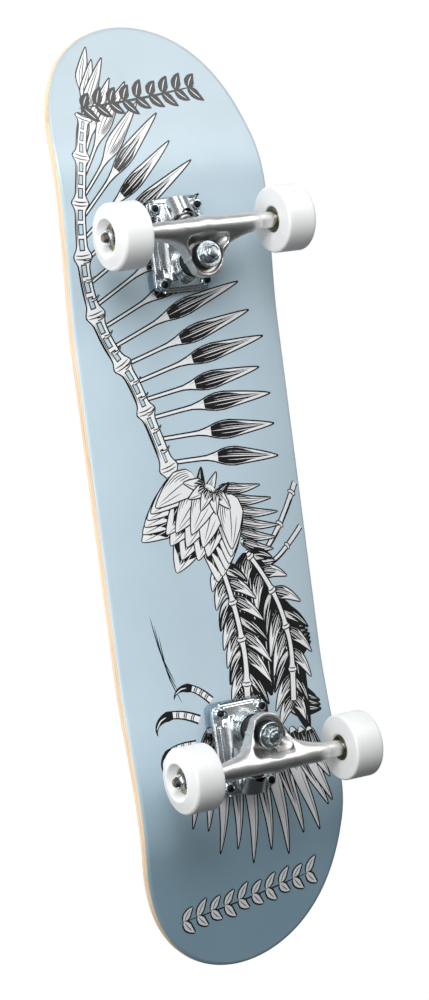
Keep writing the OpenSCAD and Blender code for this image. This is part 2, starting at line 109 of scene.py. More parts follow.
def local_kingpin():
    """A frame in the truck's own millimetres: z along the kingpin, from the middle of the hanger's ring."""
    return mat4(Matrix.Rotation(math.radians(180 - KINGPIN_LEAN), 4, "Y"), RING_AT)


def local_steer():
    """The same for the steering axis: z from the pivot towards the hanger's ring."""
    span = RING_AT - PIVOT_AT
    return mat4(Matrix.Rotation(math.atan2(span.x, span.z), 4, "Y"), PIVOT_AT)


def axle_frame(end, side):
    turn = Matrix.Rotation(math.radians(-90 * SIDES[side]), 4, "X")
    return Matrix.Scale(MM, 4) @ mat4(turn, (ENDS[end] * AXLE_X, 0, AXLE_Z))


# ---------------------------------------------------------------- deck surface

def kick_rise(x):
    x = np.asarray(x, float)
    angle = np.where(x >= 0, KICK_ANGLE[1], KICK_ANGLE[-1])
    past = np.maximum(np.abs(x) - KICK_START, 0)
    run = KICK_R * np.sin(angle)
    inside = np.minimum(past, run)
    return KICK_R - np.sqrt(KICK_R ** 2 - inside ** 2) + np.maximum(past - run, 0) * np.tan(angle)


def slope(x):
    x = np.asarray(x, float)
    angle = np.where(x >= 0, KICK_ANGLE[1], KICK_ANGLE[-1])
    past = np.maximum(np.abs(x) - KICK_START, 0)
    return np.sign(x) * np.minimum(np.arcsin(np.clip(past / KICK_R, 0, 1)), angle)


def smooth_step(t):
    t = np.clip(t, 0, 1)
    return t * t * (3 - 2 * t)


def underside(x, y):
    x, y = np.asarray(x, float), np.asarray(y, float)
    dish = (np.maximum(np.abs(y) - FLAT_HALF, 0) / (HALF_WIDTH - FLAT_HALF)) ** 2
    fade = smooth_step((np.abs(x) - FADE[0]) / (FADE[1] - FADE[0]))
    return UNDER_Z + kick_rise(x) + CONCAVE * dish * (1 - fade)


def reach(sign):
    """How far the deck's edge goes along x from the middle, to the nose (1) or the tail (-1)."""
    return HALF_LENGTH + EDGE_R * math.sin(KICK_ANGLE[sign]) - 0.3


def outline_half(x):
    sign = 1 if x >= 0 else -1
    s = min(1, max(0, (abs(x) - TAPER_START[sign]) / (reach(sign) - TAPER_START[sign])))
    return HALF_WIDTH * (1 - s ** TAPER_POWER[sign]) ** (1 / OUTLINE_POWER)


def stations(tip_steps=40, body_step=7.0):
    """[(x, half width)] from tail to nose, closer together round the tips."""
    halves = {}
    for sign in (-1, 1):
        start, length = TAPER_START[sign], reach(sign) - TAPER_START[sign]
        bend = KICK_START + KICK_R * math.sin(KICK_ANGLE[sign]) + 6
        turn = math.acos(outline_half(sign * bend) / HALF_WIDTH)
        half = [(sign * d, outline_half(sign * d)) for d in np.arange(0, bend, body_step)]
        for i in range(1, tip_steps + 1):
            a = turn + (math.radians(89.4) - turn) * i / tip_steps
            s = (1 - math.cos(a) ** OUTLINE_POWER) ** (1 / TAPER_POWER[sign])
            half.append((sign * (start + length * s), HALF_WIDTH * math.cos(a)))
        halves[sign] = half
    return halves[-1][::-1] + halves[1][1:]


def lifted(x, y, height):
    """Flat places raised onto a level of the deck, above its underside."""
    a = slope(x)
    return np.stack([x - height * np.sin(a), y, underside(x, y) + height * np.cos(a)], -1)


def sheet_points(across, inset, height):
    """Points of one level of the deck for all stations: an array of shape (stations, across, 3)."""
    along_x, half = np.array(STATIONS).T
    across = np.asarray(across, float)
    lengths = np.where(along_x >= 0, reach(1), reach(-1))
    y = across[None, :] * (half * (HALF_WIDTH - inset) / HALF_WIDTH)[:, None]
    x = np.repeat((along_x * (lengths - inset) / lengths)[:, None], len(across), 1)
    return lifted(x, y, height)


def edge_inset(height, thickness=DECK_T, radius=EDGE_R):
    """How far the rounded edge draws in at a height above the underside."""
    depth = min(height, thickness - height)
    return radius - math.sqrt(max(radius ** 2 - (radius - depth) ** 2, 0)) if depth < radius else 0.0


# ---------------------------------------------------------------- mesh making

def make(name, verts, faces, materials, body, slot=None, replaces=(), sharp=35, indices=None, matrix=None):
    mesh = bpy.data.meshes.new(name)
    verts = np.asarray(verts, float).reshape(-1, 3)
    if matrix is not None:
        m = np.array(matrix)
        verts = verts @ m[:3, :3].T + m[:3, 3]
    mesh.from_pydata([tuple(v) for v in verts], [], [tuple(int(i) for i in f) for f in faces])
    mesh.update()
    for material in materials:
        mesh.materials.append(material)
    if indices is not None:
        mesh.polygons.foreach_set("material_index", np.asarray(indices, np.int32))
    shade(mesh, sharp)
    piece = bpy.data.objects.new(name, mesh)
    scene.collection.objects.link(piece)
    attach(piece, body)
    if replaces:
        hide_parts(*replaces)
    return piece


def shade(mesh, sharp):
    mesh.polygons.foreach_set("use_smooth", np.ones(len(mesh.polygons), bool))
    mesh.set_sharp_from_angle(angle=math.radians(sharp))


def join_parts(parts):
    """[(verts, faces)] as one (verts, faces)."""
    verts, faces, base = [], [], 0
    for v, f in parts:
        v = np.asarray(v, float).reshape(-1, 3)
        verts.append(v)
        faces += [[i + base for i in face] for face in f]
        base += len(v)
    return np.concatenate(verts), faces


def moved(part, matrix):
    v, f = part
    m = np.array(matrix)
    return np.asarray(v, float) @ m[:3, :3].T + m[:3, 3], f


def bands(rows, closed=False):
    """Faces between neighbouring rings of vertex numbers; a ring of one repeated number is a pole."""
    faces = []
    for a, b in zip(rows, rows[1:] + rows[:1] if closed else rows[1:]):
        for j in range(len(a)):
            face = [a[j - 1], a[j], b[j], b[j - 1]]
            face = [v for n, v in enumerate(face) if v != face[n - 1]]
            if len(face) > 2:
                faces.append(face)
    return faces


def revolve(levels, segments, closed=False):
    """A surface through rings of points at (radius, height), either of which may vary round the ring."""
    angles = np.arange(segments) * 2 * math.pi / segments
    verts, rows = [], []
    for r, z in levels:
        count = 1 if np.max(r) < 1e-6 else segments
        rows.append([len(verts) + j % count for j in range(segments)])
        verts += list(np.stack(np.broadcast_arrays(r * np.cos(angles), r * np.sin(angles), z), -1)[:count])
    return np.array(verts), bands(rows, closed)


def lathe(profile, segments):
    """A closed (r, z) outline turned round z. Points on the axis become one vertex each."""
    return revolve(profile, segments, closed=True)


def rounded(profile, radius, steps=3):
    """The outline with each corner off the axis rounded."""
    out = []
    count = len(profile)
    for i, p in enumerate(profile):
        a, b = Vector(profile[i - 1]), Vector(profile[(i + 1) % count])
        p = Vector(p)
        ua, ub = (a - p), (b - p)
        la, lb = ua.length, ub.length
        if p.x < 1e-6 or la < 1e-6 or lb < 1e-6:
            out.append(tuple(p))
            continue
        ua, ub = ua / la, ub / lb
        turn = math.pi - ua.angle(ub)
        if turn < 0.3:
            out.append(tuple(p))
            continue
        cut = min(radius * math.tan(turn / 2), 0.45 * la, 0.45 * lb)
        start, end = p + ua * cut, p + ub * cut
        for k in range(steps + 1):
            t = k / steps
            q = start * (1 - t) ** 2 + p * 2 * t * (1 - t) + end * t * t
            out.append((q.x, q.y))
    return out


def thread(radius, z0, z1, pitch, depth, segments=48, tip=0.8):
    """A screw thread on a rod between two heights, closed at both ends."""
    share = np.arange(segments) / segments
    levels = [(0, z0)]
    for z in np.linspace(z0, z1, max(2, int((z1 - z0) / pitch * 8))):
        phase = ((z - z0) / pitch - share) % 1
        levels.append((radius - depth * (1 - abs(2 * phase - 1)) - max(0, z - (z1 - tip)) * 0.8, z))
    return revolve(levels + [(0, z1 + 0.05)], segments)


def hex_nut(across, height, bore, collar=None, top=None, segments=72):
    """A chamfered hexagon nut standing on z = 0, with a turned collar above it where one is given."""
    flat = across / 2
    drop = (flat / math.cos(math.pi / 6) - flat) * 0.55
    from_flat = (np.arange(segments) * 2 * math.pi / segments + math.pi / 6) % (math.pi / 3) - math.pi / 6

    def side(z):
        chamfer = flat * 0.97 + min(z, height - z) / math.tan(math.radians(30))
        return np.minimum(flat / np.cos(from_flat), chamfer), z

    levels = [(bore, 0.25), (bore + 0.3, 0), (flat * 0.96, 0)]
    levels += [side(z) for z in (0, drop, height - drop, height)]
    if collar:
        levels += [(collar + 0.25, height), (collar, height + 0.25), (collar, top - 0.8)]
        levels += [(collar - 0.35, top - 0.2), (collar - 0.9, top), (bore + 0.9, top - 0.1)]
        levels += [(bore + 0.25, top - 0.5), (bore, top - 0.6)]
    else:
        levels += [(flat * 0.96, height), (bore + 0.3, height), (bore, height - 0.25)]
    return revolve(levels, segments, closed=True)


# ---------------------------------------------------------------- materials

def srgb(r, g, b):
    def lin(c):
        c /= 255
        return c / 12.92 if c <= 0.04045 else ((c + 0.055) / 1.055) ** 2.4
    return (lin(r), lin(g), lin(b), 1)


class Wiring:
    """Small helper to make and join shader nodes."""

    def __init__(self, owner):
        owner.use_nodes = True
        self.t = owner.node_tree

    def new(self, kind, **values):
        n = self.t.nodes.new(kind)
        for key, value in values.items():
            setattr(n, key, value)
        return n

    def put(self, node, **values):
        for key, value in values.items():
            node.inputs[key.replace("_", " ")].default_value = value

    def link(self, a, b):
        self.t.links.new(a, b)

    def ramp(self, value, stops):
        n = self.new("ShaderNodeValToRGB")
        while len(n.color_ramp.elements) < len(stops):
            n.color_ramp.elements.new(0.5)
        for e, (at, colour) in zip(n.color_ramp.elements, stops):
            e.position = at
            e.color = colour if len(colour) == 4 else (*colour, 1)
        self.link(value, n.inputs["Fac"])
        return n.outputs["Color"]

    def range(self, value, low, high, from_low=0.3, from_high=0.7):
        n = self.new("ShaderNodeMapRange")
        self.put(n, From_Min=from_low, From_Max=from_high, To_Min=low, To_Max=high)
        self.link(value, n.inputs["Value"])
        return n.outputs["Result"]

    def either(self, share, first, second):
        n = self.new("ShaderNodeMixShader")
        for socket, value in zip(n.inputs, (share, first, second)):
            self.link(value, socket)
        return n.outputs["Shader"]


class Builder(Wiring):
    """The wiring of one Principled material."""

    def __init__(self, name):
        self.m = bpy.data.materials.new(name)
        super().__init__(self.m)
        self.bsdf = next(n for n in self.t.nodes if n.type == "BSDF_PRINCIPLED")
        self.coord = self.new("ShaderNodeTexCoord")

    def set(self, **values):
        self.put(self.bsdf, **values)

    def mapped(self, scale=(1, 1, 1)):
        n = self.new("ShaderNodeMapping")
        self.put(n, Scale=scale)
        self.link(self.coord.outputs["Object"], n.inputs["Vector"])
        return n.outputs["Vector"]

    def noise(self, scale, detail=4, rough=0.5, stretch=(1, 1, 1), distortion=0.0):
        n = self.new("ShaderNodeTexNoise")
        self.put(n, Scale=scale, Detail=detail, Roughness=rough, Distortion=distortion)
        self.link(self.mapped(stretch), n.inputs["Vector"])
        return n.outputs["Fac"]

    def bump(self, height, strength, distance=0.0002, after=None):
        n = self.new("ShaderNodeBump")
        self.put(n, Strength=strength, Distance=distance)
        self.link(height, n.inputs["Height"])
        if after is not None:
            self.link(after, n.inputs["Normal"])
        return n.outputs["Normal"]

    def colour(self, socket):
        self.link(socket, self.bsdf.inputs["Base Color"])

    def rough(self, socket):
        self.link(socket, self.bsdf.inputs["Roughness"])

    def normal(self, socket):
        self.link(socket, self.bsdf.inputs["Normal"])


def metal(name, dark, light, rough, blotch=60, bump=0.05, grain=(1, 1, 1), grain_scale=900):
    """Bare or plated metal with blotchy tone, fine grain and uneven roughness."""
    b = Builder(name)
    b.set(Metallic=1.0)
    b.colour(b.ramp(b.noise(blotch, 5), [(0.3, dark), (0.7, light)]))
    fine = b.noise(grain_scale, 3, 0.6, grain)
    b.rough(b.range(fine, *rough))
    coarse = b.noise(blotch * 3, 3, 0.5)
    b.normal(b.bump(fine, bump, 0.00004, b.bump(coarse, bump * 0.8, 0.0001)))
    return b.m


def plain(name, dark, light, rough, scale=40, bump=0.05, **sockets):
    """Plastic or rubber with slight tone, sheen and surface variation."""
    b = Builder(name)
    b.set(**sockets)
    b.colour(b.ramp(b.noise(scale, 4), [(0.3, dark), (0.7, light)]))
    b.rough(b.range(b.noise(scale * 4, 4, 0.6), *rough))
    b.normal(b.bump(b.noise(1500, 3, 0.6), bump, 0.00005))
    return b.m


def wood(name, dark, light, line):
    """Maple veneer: long grain along the board with fine pores and flecks."""
    b = Builder(name)
    b.set(Coat_Weight=0.25, Coat_Roughness=0.3)
    broad = b.noise(60, 6, 0.6, (0.12, 1, 3), 0.6)
    fine = b.noise(700, 5, 0.65, (0.05, 1, 2.5))
    mixed = b.new("ShaderNodeMix", data_type="FLOAT")
    mixed.inputs["Factor"].default_value = 0.45
    b.link(broad, mixed.inputs[2])
    b.link(fine, mixed.inputs[3])
    tone = mixed.outputs[0]
    b.colour(b.ramp(tone, [(0.32, line), (0.46, dark), (0.66, light)]))
    b.rough(b.range(fine, 0.42, 0.6))
    b.normal(b.bump(fine, 0.12, 0.00008))
    return b.m


def paint(name, low, high, fade=()):
    """Printed and lacquered film: faintly mottled colour; where fade is given, a ramp along the board darkens
    it, partly the print's own deepening and partly painted shade.
    """
    b = Builder(name)
    b.set(Specular_IOR_Level=0.25, Coat_Weight=0.9, Coat_IOR=1.45, Coat_Roughness=0.22)
    tone = b.ramp(b.noise(14, 6, 0.6), [(0.3, low), (0.7, high)])
    # The fade ramp paints shade along the board as well as the print's own deepening: darker towards the
    # tail, a little darker at the nose tip.
    if fade:
        split = b.new("ShaderNodeSeparateXYZ")
        b.link(b.coord.outputs["Object"], split.inputs["Vector"])
        place = b.range(split.outputs["X"], 0.0, 1.0, -BOARD_HALF, BOARD_HALF)
        mix = b.new("ShaderNodeMix", data_type="RGBA", blend_type="MULTIPLY")
        mix.inputs["Factor"].default_value = 1.0
        b.link(tone, mix.inputs[6])
        b.link(b.ramp(place, fade), mix.inputs[7])
        tone = mix.outputs[2]
    b.colour(tone)
    b.rough(b.range(b.noise(9, 5, 0.6), 0.40, 0.50))
    orange_peel = b.noise(260, 3, 0.5)
    b.normal(b.bump(orange_peel, 0.03, 0.0001, b.bump(b.noise(1800, 2), 0.02, 0.00004)))
    return b.m


BOARD_HALF = 0.403
FULL = (1, 1, 1)
# Ramp from tail (0) to nose (1) multiplied into the blue: partly the print's own deepening, partly painted
# shade where the light falls off towards the tail; the nose tip is painted a little darker too.
PRINT_FADE_AND_SHADE = [(0.0, (0.50, 0.62, 0.68)), (0.12, (0.54, 0.65, 0.70)), (0.28, FULL), (0.8, FULL),
              (0.9, (0.86, 0.84, 0.83))]
MAT = {
    "ply_light": wood("maple_pale", srgb(226, 203, 168), srgb(242, 225, 198), srgb(205, 172, 130)),
    "ply_warm": wood("maple_warm", srgb(214, 170, 126), srgb(232, 196, 156), srgb(186, 138, 96)),
    "ply_core": wood("maple_core", srgb(222, 186, 146), srgb(238, 212, 178), srgb(196, 158, 120)),
    "bright_alloy": metal("polished_aluminium", (0.66, 0.69, 0.71), (0.88, 0.90, 0.92), (0.14, 0.28), 28,
                          0.045),
    "cast_alloy": metal("satin_aluminium", (0.70, 0.70, 0.69), (0.90, 0.90, 0.88), (0.30, 0.48), 70, 0.2,
                        (1, 0.3, 1), 1400),
    "zinc": metal("bright_zinc", (0.50, 0.60, 0.64), (0.82, 0.90, 0.93), (0.1, 0.26), 160, 0.08),
    "dark_zinc": metal("worn_zinc", (0.34, 0.39, 0.41), (0.66, 0.72, 0.75), (0.18, 0.36), 180, 0.1),
    "bearing_steel": metal("bearing_steel", (0.42, 0.41, 0.36), (0.66, 0.65, 0.6), (0.14, 0.3), 200),
    "dark_steel": metal("ground_steel", (0.16, 0.16, 0.17), (0.34, 0.34, 0.35), (0.22, 0.4)),
    "black_steel": metal("black_oxide_steel", (0.012, 0.012, 0.014), (0.05, 0.05, 0.055), (0.3, 0.5)),
    "yellow_zinc": metal("yellow_zinc", (0.17, 0.155, 0.085), (0.36, 0.33, 0.20), (0.22, 0.38), 200, 0.08),
    "axle_steel": metal("axle_steel", (0.07, 0.06, 0.055), (0.17, 0.15, 0.135), (0.38, 0.55)),
    "rubber": plain("black_urethane", (0.006, 0.006, 0.007), (0.018, 0.018, 0.02), (0.25, 0.42), bump=0.1),
    "wheel": plain("white_urethane", srgb(227, 229, 229), srgb(235, 236, 236), (0.32, 0.46), 25, 0.06,
                   Subsurface_Weight=0.25, Subsurface_Scale=0.004, Subsurface_Radius=(1, 1, 1)),
    # Its blue is darkened along the board: painted shade towards the tail, together with the print's own
    # deepening.
    "blue_paint": paint("pale_blue_paint_and_shade", (0.470, 0.595, 0.672), (0.505, 0.632, 0.711), PRINT_FADE_AND_SHADE),
    "white_ink": paint("white_ink", (0.80, 0.81, 0.82), (0.85, 0.86, 0.87)),
    "black_ink": paint("black_ink", (0.003, 0.003, 0.004), (0.006, 0.006, 0.007)),
}


def grip_material():
    """Coarse black abrasive with glinting grains."""
    b = Builder("grip_abrasive")
    grains = b.new("ShaderNodeTexVoronoi")
    grains.inputs["Scale"].default_value = 1400
    b.link(b.mapped(), grains.inputs["Vector"])
    b.colour(b.ramp(grains.outputs["Color"], [(0.2, (0.006, 0.006, 0.007)), (0.8, (0.03, 0.03, 0.032))]))
    b.rough(b.range(grains.outputs["Distance"], 0.45, 0.9, 0.0, 0.8))
    b.normal(b.bump(grains.outputs["Distance"], 0.9, 0.0004, b.bump(b.noise(300, 4), 0.4, 0.0003)))
    return b.m


MAT["grip"] = grip_material()


def clear_material():
    """Clear flexible plastic with a blue cast in its thickness."""
    b = Builder("clear_blue_plastic")
    b.set(Transmission_Weight=1.0, IOR=1.45)
    b.colour(b.ramp(b.noise(30, 3), [(0.3, (0.66, 0.81, 0.95)), (0.7, (0.76, 0.88, 0.97))]))
    b.rough(b.range(b.noise(200, 3), 0.03, 0.09))
    b.normal(b.bump(b.noise(500, 2), 0.03, 0.0001))
    return b.m


MAT["clear"] = clear_material()

SLOT_LOOKS = {
    "deck_wood": "ply_light", "grip_sheet": "grip", "clear_plastic": "clear",
    "polished_alloy": "bright_alloy", "satin_alloy": "cast_alloy", "zinc_steel": "zinc",
    "dark_steel": "dark_steel", "black_steel": "black_steel", "yellow_zinc": "yellow_zinc",
    "black_urethane": "rubber", "white_urethane": "wheel",
}
for part in record["subparts"]:
    looks = nodes[part["node"]].data.materials
    looks.clear()
    looks.append(MAT[SLOT_LOOKS[part["material_slot"]]])


# ---------------------------------------------------------------- cast solids skinned from blended distances

class Field:
    """A grid of points in millimetres on which distances to simple solids are blended."""

    def __init__(self, low, high, step):
        self.low, self.step = np.array(low, np.float32), step
        axes = [np.arange(a, b + step, step, dtype=np.float32) for a, b in zip(low, high)]
        self.p = np.stack(np.meshgrid(*axes, indexing="ij"), -1)

    def seen_from(self, matrix):
        """The same points in another frame, given that frame's matrix in millimetres."""
        m = np.array(matrix.inverted(), np.float32)
        return self.p @ m[:3, :3].T + m[:3, 3]


def blend(a, b, k):
    """Union with a fillet of about k."""
    h = np.clip(0.5 + 0.5 * (b - a) / k, 0, 1)
    return b * (1 - h) + a * h - k * h * (1 - h)


def cut(a, b, k):
    """a without b, with the new edge rounded by about k."""
    return -blend(-a, b, k)


def both(a, b, k):
    """What a and b share, with the edge rounded by about k."""
    return -blend(-a, -b, k)


def rod(p, a, b, ra, rb):
    a, b = np.array(a, np.float32), np.array(b, np.float32)
    ab = b - a
    t = np.clip(((p - a) @ ab) / (ab @ ab), 0, 1)
    return np.linalg.norm(p - a - t[..., None] * ab, axis=-1) - (ra + (rb - ra) * t)


def slab(p, low, high, radius=0.0):
    low, high = np.array(low, np.float32), np.array(high, np.float32)
    q = np.abs(p - (low + high) / 2) - (high - low) / 2 + radius
    return np.linalg.norm(np.maximum(q, 0), axis=-1) + np.minimum(q.max(-1), 0) - radius


def pillar(p, radius, low, high, k=0.0):
    """A round bar along z; radius may vary from point to point."""
    d = np.hypot(p[..., 0], p[..., 1]) - radius
    ends = np.abs(p[..., 2] - (low + high) / 2) - (high - low) / 2
    return both(d, ends, k) if k else np.maximum(d, ends)


CUBE = [(x, y, z) for x in (0, 1) for y in (0, 1) for z in (0, 1)]
CUBE_EDGES = [(a, b) for a in CUBE for b in CUBE if a < b and sum(abs(i - j) for i, j in zip(a, b)) == 1]


def skin(field, d):
    """Quads over the zero surface: (vertices, faces, normals)."""
    inside = d < 0
    size = [n - 1 for n in d.shape]
    corner = {c: inside[c[0]:c[0] + size[0], c[1]:c[1] + size[1], c[2]:c[2] + size[2]] for c in CUBE}
    count_in = sum(corner[c].astype(np.int8) for c in CUBE)
    cell = np.argwhere((count_in > 0) & (count_in < 8))
    index = np.full(size, -1)
    index[tuple(cell.T)] = np.arange(len(cell))
    total, hits = np.zeros((len(cell), 3)), np.zeros(len(cell))
    for a, b in CUBE_EDGES:
        da = d[tuple((cell + a).T)]
        db = d[tuple((cell + b).T)]
        crossed = (da < 0) != (db < 0)
        t = np.where(crossed, da / np.where(crossed, da - db, 1), 0)
        total += crossed[:, None] * (np.array(a) + t[:, None] * (np.array(b) - np.array(a)))
        hits += crossed
    local = cell + total / hits[:, None]
    faces = []
    for axis in range(3):
        step = np.eye(3, dtype=int)[axis]
        u, v = np.eye(3, dtype=int)[(axis + 1) % 3], np.eye(3, dtype=int)[(axis + 2) % 3]
        head = [slice(1, -1)] * 3
        head[axis] = slice(0, -1)
        tail = [slice(1, -1)] * 3
        tail[axis] = slice(1, None)
        first, second = inside[tuple(head)], inside[tuple(tail)]
        for at, flip in ((np.argwhere(first & ~second), False), (np.argwhere(~first & second), True)):
            at = at + 1 - step
            ring = [index[tuple((at - o).T)] for o in (0 * u, u, u + v, v)]
            faces.append(np.stack(ring[::-1] if flip else ring, -1))
    faces = np.concatenate(faces)
    slope_at = np.stack(np.gradient(d), -1)
    near = np.rint(local).astype(int)
    normals = slope_at[tuple(near.T)]
    return relaxed(local, faces) * field.step + field.low, faces, normals


def relaxed(verts, faces, rounds=2):
    """Each vertex drawn halfway to the mean of its neighbours, to even out the quads."""
    for _ in range(rounds):
        total, count = np.zeros_like(verts), np.zeros(len(verts))
        for k in range(4):
            for j in (-1, 1):
                np.add.at(total, faces[:, k], verts[faces[:, (k + j) % 4]])
                np.add.at(count, faces[:, k], 1)
        verts = 0.5 * verts + 0.5 * total / count[:, None]
    return verts


HANGER_HALF = 65.5
AXLE_LOCAL = (AXLE_X - TRUCK_X, 0, AXLE_Z - UNDER_Z)
NOSE_R = 6.4


def flared(k, centre_r, corner, corner_r):
    """Distance across the kingpin to a round cup that widens to two corners beside the bar."""
    x, y = k[..., 0], k[..., 1]
    cx, cy = corner
    t = np.clip((x * cx + y * cy) / (cx * cx + cy * cy), 0, 1)
    cup = np.hypot(x - t * cx, y - t * cy) - (centre_r + (corner_r - centre_r) * t)
    fill = np.maximum(np.abs(x - cx / 2) + cx / 2 - 0.5 * corner_r, y - cy)
    return np.minimum(cup, fill)


BAR_RADII = ([0, 22, 40, 49, 50.5, 52, 66], [8.3, 8.2, 7.7, 7.4, 7.3, 7.0, 6.8])
BAR_DEPTHS = ([0, 22, 40, 49, 51], [1.16, 1.14, 1.08, 1.03, 1.0])
RING_HALF = 3.4


def mirrored(p):
    """The points with their y made positive, for shapes that are alike on both sides."""
    q = p.copy()
    q[..., 1] = np.abs(q[..., 1])
    return q


def hanger_solid():
    field = Field((-38, -67.2, -70), (36, 67.2, -10), 0.62)
    q = mirrored(field.p)
    ax, az = AXLE_LOCAL[0], AXLE_LOCAL[2]
    sideways = q[..., 1]
    bar = np.hypot(q[..., 0] - ax, (q[..., 2] - az) / np.interp(sideways, *BAR_DEPTHS))
    bar = both(bar - np.interp(sideways, *BAR_RADII), sideways - HANGER_HALF, 0.8)
    k = mirrored(field.seen_from(local_kingpin()))
    s = k[..., 2]
    shell = flared(k, 16.7 + 0.13 * np.clip(s + RING_HALF, 0, 20), (-14.5, 16.4), 5.8)
    shell = both(shell, -RING_HALF - s, 1.2)
    rim = (k[..., 0] - 18) * 0.268 + (s - 5.4) * 0.963
    shell = both(shell, rim, 0.8)
    web = rod(q, (ax - 1, 41, az + 1), (-1.5, 18, -50.5), 4.2, 5.5)
    body = blend(blend(bar, web, 9), shell, 6)
    steer = field.seen_from(local_steer())
    arm = rod(q, (ax + 1, 0, az + 2), tuple(local_steer() @ Vector((0, 0, 13))), 7.2, 7.0)
    body = blend(body, arm, 7)
    nose = np.minimum(np.linalg.norm(steer, axis=-1) - NOSE_R, pillar(steer, NOSE_R, 0, 13))
    body = blend(body, nose, 1.2)
    body = cut(body, scoop_distance(k, s), 1.3)
    body = cut(body, pillar(k, 15.0, -30, -RING_HALF - 0.05), 0.6)
    return field, np.maximum(body, -pillar(k, 6.7, -20, 6))


def scoop_distance(k, s):
    """The bowl round the upper bushing and nut; its corners spread as it nears the rim."""
    x, y = k[..., 0], k[..., 1]
    spread = np.clip((s - RING_HALF) / 11, 0, 1)
    cx, cy = -7.5 - 2.6 * spread, 7.5 + 7.4 * spread
    r0 = 14.1 + 0.157 * (s - RING_HALF)
    t = np.clip((x * cx + y * cy) / (cx * cx + cy * cy), 0, 1)
    cup = np.hypot(x - t * cx, y - t * cy) - (r0 + (4.8 - r0) * t)
    cup = np.minimum(cup, np.hypot(x, y) - r0)
    fill = np.maximum(np.maximum(x, cx - 4.6 - x), y - cy)
    return np.maximum(np.minimum(cup, fill), RING_HALF - s)


def baseplate_solid():
    field = Field((-39.5, -28, -30), (39.5, 28, -1.5), 0.45)
    p = field.p
    x, y, z = p[..., 0], np.abs(p[..., 1]), p[..., 2]
    plate_x, plate_y, corner = 37.25, 25.8, 4.5
    qx, qy = np.abs(x) - plate_x + corner, y - plate_y + corner
    outline = np.hypot(np.maximum(qx, 0), np.maximum(qy, 0)) + np.minimum(np.maximum(qx, qy), 0) - corner
    flange = both(outline, np.abs(z + 5.7) - 2.5, 0.7)
    roof = np.interp(x, [-36.4, -29.4, -2, 6, 20, 34.6, 36.6], [-7.5, -16, -16, -13.4, -13.4, -10.6, -7.5])
    spine = both((roof - z) * 0.85, y - 17.2 - (z + 8) * 0.35, 1.0)
    body = blend(flange, np.maximum(spine, z + 5), 1.2)
    m = mirrored(p)
    for low, high in (((-20, 19.2, -10.6), (19, 21.4, -6)), ((-23, 23.2, -9.9), (23, 25.6, -6)),
                      ((-29.5, 3, -18.2), (-20, 5, -6))):
        body = blend(body, slab(m, low, high, 0.8), 0.8)
    kingpin = field.seen_from(local_kingpin())
    steer = field.seen_from(local_steer())
    body = blend(body, pillar(kingpin, 13.2, -40, -19.5, 0.8), 2.5)
    body = blend(body, pillar(steer, 10.8, -12, 6.2, 0.8), 2.0)
    for bx in (-BOLT_DX, BOLT_DX):
        pocket = np.maximum(np.hypot(x - bx, y - BOLT_DY) - 6.6, z + 8.2)
        body = cut(body, pocket, 0.5)
    holes = np.minimum(np.hypot(x - BOLT_DX, y - BOLT_DY), np.hypot(x + BOLT_DX, y - BOLT_DY))
    holes = np.minimum(holes, np.hypot(x - SPARE_DX, y - BOLT_DY)) - 2.75
    body = cut(body, holes, 0.4)
    body = np.maximum(body, -pillar(steer, 8.3, -7.5, 40))
    body = np.maximum(body, -pillar(kingpin, 4.9, -60, 20))
    return field, np.maximum(body, z + 3.25)


def cast(name, shape, material, end, body, slot, replaces):
    """One skinned solid placed at an end of the board."""
    verts, faces, normals = shape
    frame_at = truck_frame(end)
    piece = make(name, verts, faces, [material], body, slot, replaces, sharp=180, matrix=frame_at)
    turn = np.array(frame_at)[:3, :3] / MM
    normals = normals @ turn.T
    normals /= np.maximum(np.linalg.norm(normals, axis=1, keepdims=True), 1e-9)
    piece.data.normals_split_custom_set_from_vertices([tuple(n) for n in normals])
    return piece


def build_castings():
    shapes = {"hanger": skin(*hanger_solid()), "baseplate": skin(*baseplate_solid())}
    for end in ENDS:
        cast(end + "_hanger_casting", shapes["hanger"], MAT["cast_alloy"], end, end + "_truck",
             "satin_alloy", [end + "_hanger"])
        cast(end + "_baseplate_casting", shapes["baseplate"], MAT["bright_alloy"], end, "board",
             "polished_alloy", [end + "_baseplate"])


# ---------------------------------------------------------------- turned parts and fasteners

UPPER_WASHER = [(5.1, 13.4), (5.1, 12), (10.5, 12), (10.7, 10.6), (11.4, 10.6), (11.4, 12.9), (10.9, 13.4)]
LOWER_WASHER = [(5.1, -19.5), (12.3, -19.5), (12.8, -19), (12.8, -15.6), (12.1, -15.6), (12.1, -17.9),
                (5.1, -17.9)]
LOWER_BUSHING = [(4.85, -17.85), (11, -17.85), (11.6, -16.8), (12, -10.6), (11.5, -4.4), (10.9, -3.45),
                 (4.85, -3.45)]
UPPER_BUSHING = [(4.85, 3.45), (11.1, 3.45), (11.6, 4.3), (9.5, 11.2), (8.9, 11.95), (4.85, 11.95)]
PIVOT_BUSH = [(0, -7.4), (8.2, -7.4), (8.2, 5.5), (6.6, 5.5), (6.5, 0), (5.6, -3.4), (3.2, -5.7), (0, -6.5)]


